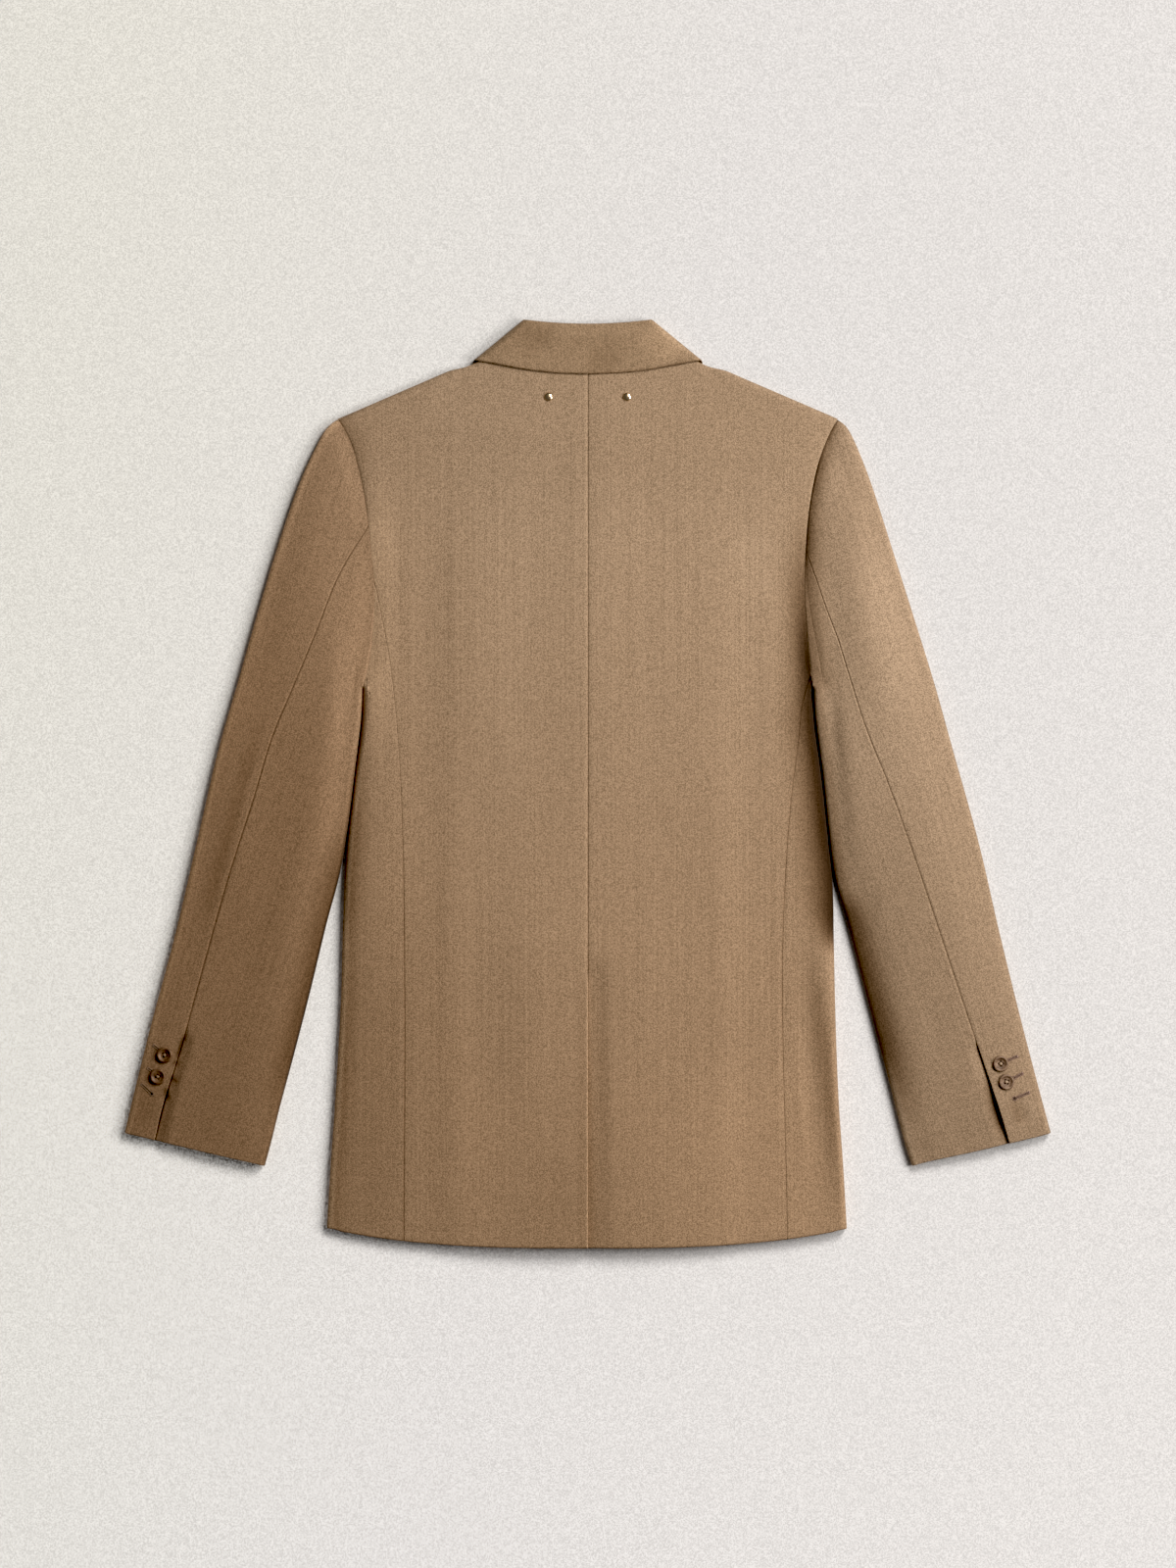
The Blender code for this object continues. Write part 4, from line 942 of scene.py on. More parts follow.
def vent_share():
    """0 above the cuff vent, 1 along it."""
    return smooth(SLEEVE_ROWS, VENT_ROW - 0.12, VENT_ROW + 0.1)[:, None]


def gape():
    """How open the cuff vent is: nothing at its top, most below its middle, less at the hem."""
    share = np.clip((SLEEVE_ROWS - VENT_ROW) / 2, 0, 1)[:, None]
    return smooth(share, 0.12, 0.5) * mix(1, 0.3, smooth(share, 0.58, 1))


def sleeve_piece(part, side):
    """A piece of sleeve, from the elbow seam round a fold to the forearm seam underneath.

    The top piece turns over the outer fold and stands up at the cuff vent. The under piece turns over the
    inner fold, and the vent's underlap is cut in one with it.
    """
    lines = sleeve_lines(side)
    top = part == "top"
    width = lines.width
    seam = ((lines.elbow if top else 1 - lines.elbow) * width)[:, 0] - HALF_SEAM
    end = (width[:, 0] - FOREARM_IN if top else FOREARM_IN + 0 * seam) - HALF_SEAM
    roll = np.full(len(seam), ROLL)
    upper = ladder(seam, roll, STEP, NEAR_SEAM, ())
    keep = None
    if not top:
        lap = ladder(seam + CUFF_LAP, seam + 2 * GAP, HIDDEN_STEP, NEAR_SEAM[:3], ())
        upper = np.concatenate([lap, upper], axis=1)
    lower = ladder(roll, end, HIDDEN_STEP, (), NEAR_SEAM[:2])
    angle, run = over_fold(upper, lower)
    on_top = (angle >= 0)[None]
    distance = from_fold(angle, run, 0)

    def from_outer(depth):
        near = from_fold(angle, run, depth)
        return near if top else width - near

    to_seam = np.where(on_top, seam[:, None], end[:, None]) - distance
    vent = vent_share() * on_top
    plan = sleeve_plan(side, lines, from_outer(0), ARMHOLE)
    near_fold = mix(0.25, 1, smooth(distance, 2, 24))
    sunk = valley(side, True, SLEEVE_DOWN + 0 * distance, plan[..., 1]) * near_fold
    sunk = sunk + elbow_seam(to_seam) * (1 - vent)
    edge = rounded(SLEEVE_LENGTH - SLEEVE_DOWN)
    if top:
        edge = edge + vent * rounded(to_seam)
        lift = vent * VENT_GAPE[side] * 0.35 * gape() * smooth(to_seam, 14, 0)
    else:
        near_lap = smooth(to_seam, 12, 0)
        drop = TURNED * near_lap * on_top * smooth(SLEEVE_ROWS, VENT_ROW - 0.18, VENT_ROW)[:, None]
        lift = -drop - VENT_GAPE[side] * 0.65 * gape() * near_lap * vent
    walls = [
        sleeve_face(side, lines, angle, from_outer(depth), depth, lift)
        for depth in (sunk + edge, CLOTH_WALL - edge)
    ]
    if not top:
        keep = np.ones(np.array(walls[0].shape[:2]) - 1, bool)
        keep[:, : lap.shape[1]] = (SLEEVE_ROWS[:-1] >= VENT_ROW)[:, None]
    fold = (lines.outer if top else lines.inner) * [SIGN[side], 1]
    weave = grain(walls[0][..., :2], fold, on_top[0], SIGN[side] * SLEEVE_GRAIN[part])
    # painted light and shade: the sleeve's own, painted shade along the elbow seam, painted light on a
    # barely lit fold
    tone = sleeve_painted_light_and_shade(side, walls[0][..., 0], walls[0][..., 1], width - from_outer(0))
    tone = tone - ELBOW_SHADE[side] * bell(to_seam, 0.8) * (1 - vent)
    tone = tone * painted_light_at_fold(distance, UNLIT_FOLD_PAINTED_LIGHT.get((part, side), 0))
    # painted shade under the edge of the cuff vent, on the under piece
    if not top:
        past_seam = np.clip(to_seam, 0, None)
        shaded = bell(past_seam, 0.7) + bell(past_seam, VENT_SHADE[side]) * gape()
        tone = tone - 0.85 * vent * np.clip(shaded, 0, 1)
    # the sleeves' wool is a darker copy: painted shade
    finish = side + " sleeve wool"
    flip = (side == "left") == top
    cloth(f"sleeve_{part}_{side}", *walls, weave, flip=flip, keep=keep, finish=finish, tone=tone)


# ---------------------------------------------------------------- fronts and lapels

def front(side, turned_lift, over_lift, low_lift):
    """A front, underneath: level rows below the overlap's top, which fan out to the shoulder above it."""
    widths = ladder(-OVERLAP_X, 186, HIDDEN_STEP, NEAR_SEAM[:3], NEAR_SEAM[:2])[0]
    across = (widths + OVERLAP_X) / np.ptp(widths)
    upper = ladder(SHOULDER_Y - 6, OVERLAP_TOP, HIDDEN_STEP)[0]
    down, angle = over_edge((SHOULDER_Y - upper) / (SHOULDER_Y - OVERLAP_TOP))
    neck_y = shoulder_y(NECK_X)
    shoulder = mix(NECK_X, SHOULDER_X - GAP / 2, across)
    turned = shoulder_turn(shoulder)
    inner_y, outer_y = mix(neck_y, OVERLAP_TOP, down), mix(SHOULDER_Y, OVERLAP_TOP, down)
    raised = smooth(widths, 118, 98)
    crossed = smooth(inner_y, 196, 172) * mix(smooth(widths, 92, 64), raised, smooth(outer_y, 62, 30))
    lift = mix(turned_lift * raised, over_lift * raised, crossed)
    lift = mix(neck_lift(shoulder) + 0 * lift, lift, smooth(outer_y, 300, 262))
    lift = mix(lift, low_lift(widths, OVERLAP_TOP) + 0 * lift, smooth(outer_y, 6, OVERLAP_TOP))
    low_rows = ladder(OVERLAP_TOP - HIDDEN_STEP, HEM_Y, HIDDEN_STEP, (), NEAR_SEAM[:3])[0]

    def level_x(y):
        """Widths of a level row: fixed over the overlap, then spread out to the side seam."""
        spread = (front_edge_x(side, y) - FAN_X) / (widths[-1] - FAN_X)
        return np.where(widths <= FAN_X, widths, FAN_X + (widths - FAN_X) * spread)

    def top(share):
        x = mix(NECK_X, SHOULDER_X - GAP / 2, share)
        return point(x, shoulder_y(x))

    def bottom(share):
        return point(np.interp(share, across, level_x(OVERLAP_TOP)), OVERLAP_TOP)

    def inner(share):
        y = mix(neck_y, OVERLAP_TOP, share)
        return point(read(FREE_EDGE, y), y)

    def outer(share):
        y = mix(SHOULDER_Y, OVERLAP_TOP, share)
        return point(front_edge_x(side, y), y)

    low = np.stack([point(level_x(y), y) for y in low_rows])
    share = ((OVERLAP_TOP - low_rows) / (OVERLAP_TOP - HEM_Y))[:, None]
    low[..., 1] += (hem_y(low[-1, :, 0]) + FRONT_HEM_IN - HEM_Y) * share
    edges = rounded(widths + OVERLAP_X)
    hem = rounded((low[..., 1] - low[-1:, :, 1]))

    def face(depth):
        above = depth[: len(down)]
        reach = ROLL * (1 - np.cos(angle)) + above * np.cos(angle) * turned
        v = down + reach * (down == 0) / (shoulder_y(shoulder) - OVERLAP_TOP)
        plan = coons(top, bottom, inner, outer, np.broadcast_to(across, v.shape), v)
        seam_z = (plain_level(shoulder, shoulder_y(shoulder)) + neck_lift(shoulder)) / 2
        seam_z = np.where(down < 0.02, seam_z - GAP / 2 * turned, lift + above)
        height = seam_z - (1 - turned * (1 - np.sin(angle))) * (seam_z - above - lift)
        height = np.concatenate([height, low_lift(low[..., 0], low[..., 1]) + depth[len(down):]])
        return placed(side, np.concatenate([plan, low]), height)

    closing = np.concatenate([edges + 0 * down, np.maximum(edges, hem)])
    walls = [face(closing), face(CLOTH_WALL - closing)]
    cloth("front_" + side, *walls, walls[0][..., :2], flip=side == "right")


def fronts():
    front("right", TURNED, TURNED, button_rise)

    def over(width, y):
        return 2 * TURNED * smooth(width, 112, 92) + 0 * y

    front("left", TURNED, 2 * TURNED, over)


def lapel(side, low_y):
    """A turned-back lapel, under its front: a patch between gorge, roll line and free edge."""
    across = ladder(0, 1, 0.06, (0.004, 0.01, 0.018), (0.004, 0.01, 0.018))[0]
    down = ladder(0, 1, 0.03, (0.002, 0.005), (0.002, 0.005))[0]
    u, v = np.meshgrid(across, down)

    def top(share):
        x = mix(GORGE_X, LAPEL_TIP_X, share)
        return point(x, GORGE_Y + GORGE_SLOPE * (x - GORGE_X))

    def inner(share):
        y = mix(GORGE_Y, low_y, share)
        return point(read(FREE_EDGE, y) + GAP, y)

    def outer(share):
        y = mix(top(1)[1], low_y, share)
        return point(read(TURNED_EDGE, y), y)

    def bottom(share):
        return blend(inner(1), outer(1), share)

    plan = coons(top, bottom, inner, outer, u, v)
    reach = np.linalg.norm(plan[:, -1:] - plan[:, :1], axis=-1)
    closing = np.maximum(rounded(u * reach), rounded((1 - u) * reach))
    walls = [placed(side, plan, height) for height in (closing, CLOTH_WALL - closing)]
    cloth("lapel_" + side, *walls, walls[0][..., :2], flip=side == "right")


# ---------------------------------------------------------------- collar

COLLAR_FOLDS = rows_with(FOLD, [
    (-46, 384, 46, 384, 14, 2.6),
    (-58, 392, -74, 352, 15, 1.3),
    (62, 392, 72, 352, 17, 1.2),
    (4, 372, 30, 346, 20, -0.8),
    (-40, 396, 40, 396, 9, -0.7),
])


def collar_fall():
    """The fall: over the back of the neck, round the fold at each side and on to its end underneath."""
    edge, turn_line = over_edge(ladder(0.1, 1, 0.05, (), (0.01, 0.022, 0.04, 0.07))[0])
    corner = np.array([COLLAR_TOP_X, roll_line_y(COLLAR_TOP_X)])
    tip = np.array([COLLAR_TIP_X, COLLAR_TIP_Y])
    length = np.linalg.norm(tip - corner)
    middle = COLLAR_HEIGHT / 2
    flat = math.pi / 2
    turning = np.linspace(flat, -flat, 2 * ROLL_STEPS + 1)[1:-1]
    back_run = np.linspace(1, 0, 34)
    end_run = np.linspace(0, 1, 9)
    angle = np.concatenate([np.full(len(back_run), flat), turning, np.full(len(end_run), -flat)])
    run = np.concatenate([back_run, 0 * turning, end_run])

    def half(depth, sign):
        share = edge + (1 - edge) * from_turn(turn_line, depth, COLLAR_TURN) * (edge < 0.02) / length
        fold = blend(corner, tip, share)
        centre = point(0 * share, mix(ROLL_LINE_Y, FALL_EDGE[0].y, share))
        end_x = mix(GORGE_X - 1, COLLAR_END_X, share)
        end = point(end_x, GORGE_Y + GORGE_SLOPE * (end_x - GORGE_X) + 2 * GAP)
        square = unit(np.array([tip[1] - corner[1], corner[0] - tip[0]]))
        fan = smooth(share, 0, 0.25) * smooth(share, 1, 0.75)

        def layer(target):
            normal = unit(blend(unit(target - fold), square, fan))
            width = np.linalg.norm(target - fold, axis=-1)
            distance = ROLL * (1 - np.cos(angle)) + depth * np.cos(angle) + (width - ROLL) * run
            return leaving_fold(fold, normal, target, distance, 3 * ROLL), distance / width

        back, reached = layer(centre)
        x = 1 - reached
        rise = roll_line_y(x * COLLAR_TOP_X) - mix(ROLL_LINE_Y, corner[1], x)
        fall = read_fall(np.abs(x) * COLLAR_TIP_X) - mix(FALL_EDGE[0].y, tip[1], x)
        back[..., 1] += (1 - share) * rise + share * fall
        under, _ = layer(end)
        plan = np.where((angle >= 0)[:, None], back, under)
        line = (COLLAR_HEIGHT - WALL - GAP / 2) - middle     # where the fall meets the stand
        upper = line + GAP / 2 + np.sin(turn_line) * (middle - depth - line - GAP / 2)
        crease = folds(COLLAR_FOLDS, plan[..., 0] * sign, plan[..., 1])
        soft = smooth(share, 0, 0.3) * smooth(angle, 0.7, flat)
        return plan, middle + np.sin(angle) * upper + crease * soft

    to_edge = (1 - edge) * 40
    closing = rounded(to_edge)
    walls = []
    for depth in (closing, CLOTH_WALL - closing):
        depth = depth + 0 * angle
        right = placed("right", *half(depth, 1))
        left = placed("left", *half(depth, -1))
        walls.append(np.concatenate([left[:, :0:-1], right], axis=1))
    # painted shade and light from the collar's table, and painted shade along its edge
    tone = 1 + folds(COLLAR_PAINTED_LIGHT_AND_SHADE, walls[0][..., 0], walls[0][..., 1]) - 0.3 * bell(to_edge, 1.3)
    cloth("collar_fall", *walls, walls[0][..., :2], finish="collar wool", tone=tone)


def from_turn(angle, depth, turn):
    """Distance from the roll line of a point at this angle round its turn and this depth in the wall."""
    first = depth[..., :1] if np.ndim(depth) else depth
    return turn * (1 - np.cos(angle)) + first * np.cos(angle)


def read_fall(x):
    return spline(column(FALL_EDGE, "x"), column(FALL_EDGE, "y"), x)


def collar_stand():
    """The stand: behind the fall, from the roll line down to the neck seam, its neck side facing down."""
    down, turn_line = over_edge(np.linspace(0.12, 1, 9))
    across = np.linspace(-1, 1, 41)[None]
    top_z = COLLAR_HEIGHT - WALL - GAP
    walls = []
    for depth in (0, CLOTH_WALL):
        length = ROLL_LINE_Y - NECK_Y
        share = down + from_turn(turn_line, depth, COLLAR_TURN) * (down < 0.02) / length
        x = across * mix(STAND_HALF_TOP, STAND_HALF_BOTTOM, share)
        y = mix(roll_line_y(x), neckline_y(x) + GAP, share)
        height = top_z - np.sin(turn_line) * (WALL - depth) + 0 * x
        walls.append(np.stack([x, y, height], axis=-1))
    cloth("collar_stand", *walls, walls[0][..., :2], flip=True)


# ---------------------------------------------------------------- buttons, buttonholes and studs

# Where a buttonhole's eye and its other end lie
BUTTONHOLES = rows_with("side eye_x eye_y end_x end_y", [
    ("left", 357.0, -229.2, 367.9, -221.2), ("left", 362.6, -247.4, 372.8, -240.6),
    ("left", 368.9, -262.6, 377.9, -254.1),
    ("right", 349.8, -236.2, 363.7, -230.7), ("right", 354.8, -251.8, 368.2, -245.1),
    ("right", 361.0, -266.4, 373.7, -261.2),
])


class Rest:
    """The shown surface of a piece of cloth, to set small things on."""

    def __init__(self, name):
        mesh = PIECES[name].data
        self.tree = BVHTree.FromPolygons([v.co for v in mesh.vertices], [p.vertices for p in mesh.polygons])

    def hit(self, x, y):
        """The point in metres under (x, y) in millimetres, and the surface's normal there."""
        return self.tree.ray_cast(Vector((x * MM, y * MM, 0.1)), Vector((0, 0, -1)))[:2]

    def frame(self, x, y):
        """The point over (x, y) in millimetres and the turn that stands z on the surface there."""
        place, normal = self.hit(x, y)
        return np.array(place) / MM, np.array(normal.to_track_quat("Z", "Y").to_matrix())

    def laid(self, points):
        """Points whose x and y stay, and whose z is then counted from the surface."""
        hits = [self.hit(x, y)[0].z for x, y, _ in points]
        return points + np.array(hits)[:, None] / MM * [0, 0, 1]


SEWN_ON = {}        # the small pieces on each piece of cloth


def small(name, points, faces, finish, on, replaces=None, slot=None):
    """A small piece from points in millimetres, sewn on a piece of cloth."""
    obj = new_piece(name, np.asarray(points) * MM, faces, finish)
    SEWN_ON.setdefault(on, []).append(obj)
    if replaces:
        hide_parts(replaces)


def grid_faces(rows, columns, around=False):
    """Quads of a grid of points; around joins its last column to its first."""
    index = np.arange(rows * columns).reshape(rows, columns)
    if around:
        index = np.concatenate([index, index[:, :1]], axis=1)
    corners = [index[:-1, :-1], index[:-1, 1:], index[1:, 1:], index[1:, :-1]]
    return np.stack(corners, axis=-1).reshape(-1, 4)


def closed_faces(rings, sides):
    """Faces of a row of rings, with a cap at each end."""
    faces = [list(face) for face in grid_faces(rings, sides, around=True)]
    faces.append(list(range(sides))[::-1])
    faces.append(list(range((rings - 1) * sides, rings * sides)))
    return faces


def turned_shape(radii, heights, turns=64):
    """A closed shape turned round z: a grid of rings from a profile that starts and ends near the axis."""
    angle = np.arange(turns) / turns * math.tau
    ring = np.stack([np.cos(angle), np.sin(angle)], axis=-1)
    height = np.broadcast_to(np.array(heights)[:, None, None], (len(radii), turns, 1))
    points = np.concatenate([np.array(radii)[:, None, None] * ring, height], axis=-1)
    return points.reshape(-1, 3), closed_faces(len(radii), turns)


def thread_holes():
    """The middles of a button's four holes."""
    return [THREAD_HOLE * direction(degrees) for degrees in (45, 135, 225, 315)]


def button_shape():
    """A horn button: a raised rim round a dished middle with four sunk thread holes."""
    profile_r = np.array([0, 2, 3.6, 4.4, 5.0, 5.6, 6.2, 6.6, 6.8])
    profile_z = np.array([0.95, 1.0, 1.15, 1.7, 2.15, 2.25, 2.0, 1.45, 0.8])
    top_r = np.linspace(0.12, CUFF_BUTTON_RADIUS, 40)
    points, faces = turned_shape(
        np.concatenate([[0.1, 5.6, 6.5, 6.75], top_r[::-1]]),
        np.concatenate([[0.05, 0.05, 0.3, 0.6], spline(profile_r, profile_z, top_r)[::-1]]),
        72,
    )
    high = points[:, 2] > 0.9
    for hole in thread_holes():
        away = np.hypot(*(points[:, :2] - hole).T)
        points[:, 2] -= 0.9 * smooth(away, 1.05, 0.75) * high
    return points, faces


def hole_shades():
    """Painted shade: a dark disc at the bottom of each of a button's four holes."""
    disc, faces = turned_shape([0.05, 0.86, 0.86, 0.05], [0.2, 0.2, 0.45, 0.45], 16)
    return joined([(disc + [*hole, 0], faces) for hole in thread_holes()])


def tube(path, radius, sides=8):
    """A round cord of points along a path, thinner at its ends."""
    path = np.asarray(path, float)
    along = unit(np.gradient(path, axis=0))
    across = unit(np.cross(along, [0.13, 0.07, 1.0]))
    up = np.cross(across, along)
    angle = np.arange(sides) / sides * math.tau
    share = np.linspace(-1, 1, len(path))
    thick = radius * np.sqrt(np.clip(1 - share**8, 0.05, 1))[:, None, None]
    ring = across[:, None] * np.cos(angle)[:, None] + up[:, None] * np.sin(angle)[:, None]
    return (path[:, None] + thick * ring).reshape(-1, 3), closed_faces(len(path), sides)


def joined(parts):
    """Several shapes as one list of points and faces."""
    points, faces, start = [], [], 0
    for more, shape in parts:
        points.append(more)
        faces += [[number + start for number in face] for face in shape]
        start += len(more)
    return np.concatenate(points), faces


def button_threads():
    """Two strands over each pair of facing holes, crossing in the middle."""
    parts = []
    run = np.linspace(-1.5, 1.5, 13)
    arch = 0.55 + 0.95 * np.clip(1 - (np.abs(run) / 1.5) ** 4, 0, 1)
    for degrees, higher in ((45, 0), (135, 0.16)):
        c, s = direction(degrees)
        for shift in (-0.27, 0.27):
            path = np.stack([run * c - shift * s, run * s + shift * c, arch + higher], axis=-1)
            parts.append(tube(path, 0.27))
    return joined(parts)


def buttonhole(number, hole, rest):
    """A keyhole buttonhole: purl stitches square to its slit, fanned round its eye, and a dark slot of
    painted shade.
    """
    name = f"{hole.side}_{number}"
    on = "sleeve_top_" + hole.side
    eye = np.array([hole.eye_x * SIGN[hole.side], hole.eye_y])
    end = np.array([hole.end_x * SIGN[hole.side], hole.end_y])
    length = np.linalg.norm(end - eye)
    along = (end - eye) / length
    side = np.array([-along[1], along[0]])
    random = np.random.default_rng(number)
    stitches = []
    for place in np.arange(1.9, length, 0.62):
        for way in (-1, 1):
            stitches.append((eye + along * place + side * way * 0.22, side * way))
    for degrees in np.linspace(40, 320, 13):
        way = direction(degrees) @ [along, side]
        stitches.append((eye + way * 1.1, way))
    for across in (-0.8, -0.25, 0.25, 0.8):
        stitches.append((end + side * across + along * 0.2, -along))
    parts = []
    for start, way in stitches:
        reach = 1.15 + random.uniform(-0.2, 0.2)
        flat = start + way * np.linspace(0, reach, 5)[:, None]
        rise = 0.30 * np.sin(np.linspace(0.15, 0.9, 5) * math.pi)
        parts.append(tube(rest.laid(np.concatenate([flat, rise[:, None]], axis=1)), 0.24, 6))
    small("buttonhole_" + name, *joined(parts), "purl " + hole.side, on)
    # painted shade: a dark sheet laid in the slit and its eye
    run = np.concatenate([np.linspace(-1.1, 1.1, 11), np.linspace(1.5, length, 10)])
    wide = np.where(run < 1.2, np.sqrt(np.clip(1.3 - run**2, 0.02, 2)), 0.12)
    rows = []
    for way in (-1, 1):
        flat = eye + along * run[:, None] + side * (way * wide)[:, None]
        rows.append(rest.laid(np.concatenate([flat, np.full((len(run), 1), 0.12)], axis=1)))
    under = [row - [0, 0, 0.2] for row in rows]
    ring = np.stack([rows[0], rows[1], under[1], under[0]], axis=1)
    faces = [list(face) for face in grid_faces(len(run), 4, around=True)]
    faces += [[0, 1, 2, 3], [len(run) * 4 - 1 - k for k in range(4)]]
    small("buttonhole_slit_" + name, ring.reshape(-1, 3), faces, "slit", on)


def trimmings():
    """Buttons with their thread, buttonholes and studs, each set on the lofted cloth."""
    shape, faces = button_shape()
    thread, thread_faces = button_threads()
    shades, shade_faces = hole_shades()
    rests = {name: Rest("sleeve_top_" + name) for name in SIGN}
    for button in CUFF_BUTTONS:
        place, stand = rests[button.side].frame(button.x * SIGN[button.side], button.y)
        c, s = direction(button.turn)
        stand = stand @ [[c, -s, 0], [s, c, 0], [0, 0, 1]]
        lift = [0, 0, BUTTON_LIFT]
        on = "sleeve_top_" + button.side
        for kind, points, own_faces, finish, *replaced in (
            ("fine_", shape, faces, "horn " + button.side, button.name, "button"),
            ("thread_", thread, thread_faces, "thread " + button.side),
            # painted shade at the bottoms of the holes
            ("holes_", shades, shade_faces, "slit"),
        ):
            small(kind + button.name, (points + lift) @ stand.T + place, own_faces, finish, on, *replaced)
    for number, hole in enumerate(BUTTONHOLES):
        buttonhole(number, hole, rests[hole.side])
    angle = np.linspace(0, math.pi / 2, 14)
    radii = np.concatenate([[0.05, 2.6, STUD_RADIUS - 0.2], STUD_RADIUS * np.cos(angle[:-1]), [0.06]])
    heights = np.concatenate([[0, 0, 0.1], 0.4 + 1.5 * np.sin(angle[:-1]), [1.9]])
    dome, dome_faces = turned_shape(radii, heights, 48)
    for name in SIGN:
        rest = Rest("back_" + name)
        place, stand = rest.frame(STUD_X * SIGN[name], STUD_Y)
        points = (dome + [0, 0, 0.1]) @ stand.T + place
        small("fine_stud_" + name, points, dome_faces, "gold", "back_" + name, "stud_" + name, "stud")
    for name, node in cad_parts.items():
        if name.startswith("front_button"):
            node.data.materials.clear()
            node.data.materials.append(FINISH["horn right"])
            SEWN_ON.setdefault("front_right", []).append(node)


# The cut of each piece, laid out flat and all round where it turns over a fold: its width, length and area
# in metres, whether it lies flat or folded, and what it lies on
Cut = namedtuple("Cut", "width length area held rests_on")


# ---------------------------------------------------------------- finishes

def new_material(name, values):
    """A material and its shader; values that are the same all over it go on the shader's own sockets."""
    made = bpy.data.materials.new(name)
    made.use_nodes = True
    shader = made.node_tree.nodes["Principled BSDF"]
    for socket, value in values.items():
        shader.inputs[socket].default_value = value
    return made, shader


class Nodes:
    """Short calls that add nodes to a tree and join them up."""

    def __init__(self, tree):
        self.tree = tree

    def add(self, kind, **settings):
        node = self.tree.nodes.new(kind)
        for name, value in settings.items():
            setattr(node, name, value)
        return node

    def feed(self, socket, value):
        if isinstance(value, bpy.types.NodeSocket):
            self.tree.links.new(value, socket)
        else:
            socket.default_value = value

    def math(self, operation, a, b=0.0, c=0.0):
        node = self.add("ShaderNodeMath", operation=operation)
        for socket, value in zip(node.inputs, (a, b, c)):
            self.feed(socket, value)
        return node.outputs[0]

    def place(self):
        """Where a point of the piece is, in metres."""
        return self.add("ShaderNodeTexCoord").outputs["Object"]

    def split(self, vector):
        """The three numbers of a vector."""
        node = self.add("ShaderNodeSeparateXYZ")
        self.feed(node.inputs[0], vector)
        return node.outputs

    def vector(self, operation, *vectors, output="Vector"):
        node = self.add("ShaderNodeVectorMath", operation=operation)
        for socket, value in zip(node.inputs, vectors):
            self.feed(socket, value)
        return node.outputs[output]

    def stretched(self, vector, size_x, size_y, shift=0.0):
        """A vector divided by a size in metres along each of its first two axes."""
        return self.vector("MULTIPLY_ADD", vector, (1 / size_x, 1 / size_y, 1), (shift, -shift, 0))

    def noise(self, vector, detail=2.0, roughness=0.5, dimensions="2D"):
        node = self.add("ShaderNodeTexNoise", noise_dimensions=dimensions)
        self.feed(node.inputs["Vector"], vector)
        for socket, value in (("Scale", 1.0), ("Detail", detail), ("Roughness", roughness)):
            self.feed(node.inputs[socket], value)
        return node.outputs["Fac"]

    def speckle(self, vector, size):
        """A random tone for each little square of this size."""
        tone = self.add("ShaderNodeTexWhiteNoise", noise_dimensions="2D")
        self.feed(tone.inputs["Vector"], self.vector("FLOOR", self.stretched(vector, size, size)))
        return tone.outputs["Value"]

    def mixed(self, share, a, b, mode="MIX"):
        node = self.add("ShaderNodeMix", data_type="RGBA", blend_type=mode)
        self.feed(node.inputs["Factor"], share)
        self.feed(node.inputs["A"], a)
        self.feed(node.inputs["B"], b)
        return node.outputs["Result"]

    def ramp(self, value, low, high, to_low=0.0, to_high=1.0):
        node = self.add("ShaderNodeMapRange", interpolation_type="LINEAR")
        for socket, given in zip(node.inputs, (value, low, high, to_low, to_high)):
            self.feed(socket, given)
        return node.outputs["Result"]


def new_group(name, inputs, outputs):
    """A shader node group with named inputs and outputs of these kinds, and its nodes."""
    tree = bpy.data.node_groups.new(name, "ShaderNodeTree")
    for way, sockets in (("INPUT", inputs), ("OUTPUT", outputs)):
        for socket, kind in sockets.items():
            tree.interface.new_socket(socket, in_out=way, socket_type="NodeSocket" + kind)
    return tree, Nodes(tree)


YARN = 0.00055      # between two yarns, in metres


def worsted_group():
    """Worsted yarns: long thin warp streaks, short weft slubs, a fine grain, and the weave's relief.

    It takes (weft, warp) distances in metres and gives a shade that is 0 on average, and a height.
    """
    tree, n = new_group("worsted_weave", {"Threads": "Vector"}, {"Shade": "Float", "Height": "Float"})
    threads = n.add("NodeGroupInput").outputs["Threads"]
    stripe = n.noise(n.stretched(threads, 0.0017, 0.35), 1.0)
    warp = n.noise(n.stretched(threads, 0.0013, 0.018, 7.3), 1.0)
    weft = n.noise(n.stretched(threads, 0.016, 0.0012, 3.1), 1.0)
    grain = n.noise(n.stretched(threads, 0.0014, 0.0014, 11.7), 1.0, 0.8)
    cloud = n.noise(n.stretched(threads, 0.05, 0.12, 5.9), 2.0)
    dots = n.speckle(threads, 0.0007)
    weights = ((stripe, 0.27), (warp, 0.13), (weft, 0.08), (grain, 0.04), (dots, 0.68), (cloud, 0.03))
    total = 0.0
    for part, weight in weights:
        centred = n.math("SUBTRACT", part, 0.5)
        total = n.math("MULTIPLY_ADD", centred, weight, total)
    wave_length = YARN / math.tau
    across, along, _ = n.split(n.vector("SINE", n.stretched(threads, wave_length, wave_length)))
    height = n.math("MULTIPLY_ADD", n.math("MULTIPLY", across, along), 0.12, total)
    out = n.add("NodeGroupOutput")
    n.feed(out.inputs["Shade"], total)
    n.feed(out.inputs["Height"], height)
    return tree


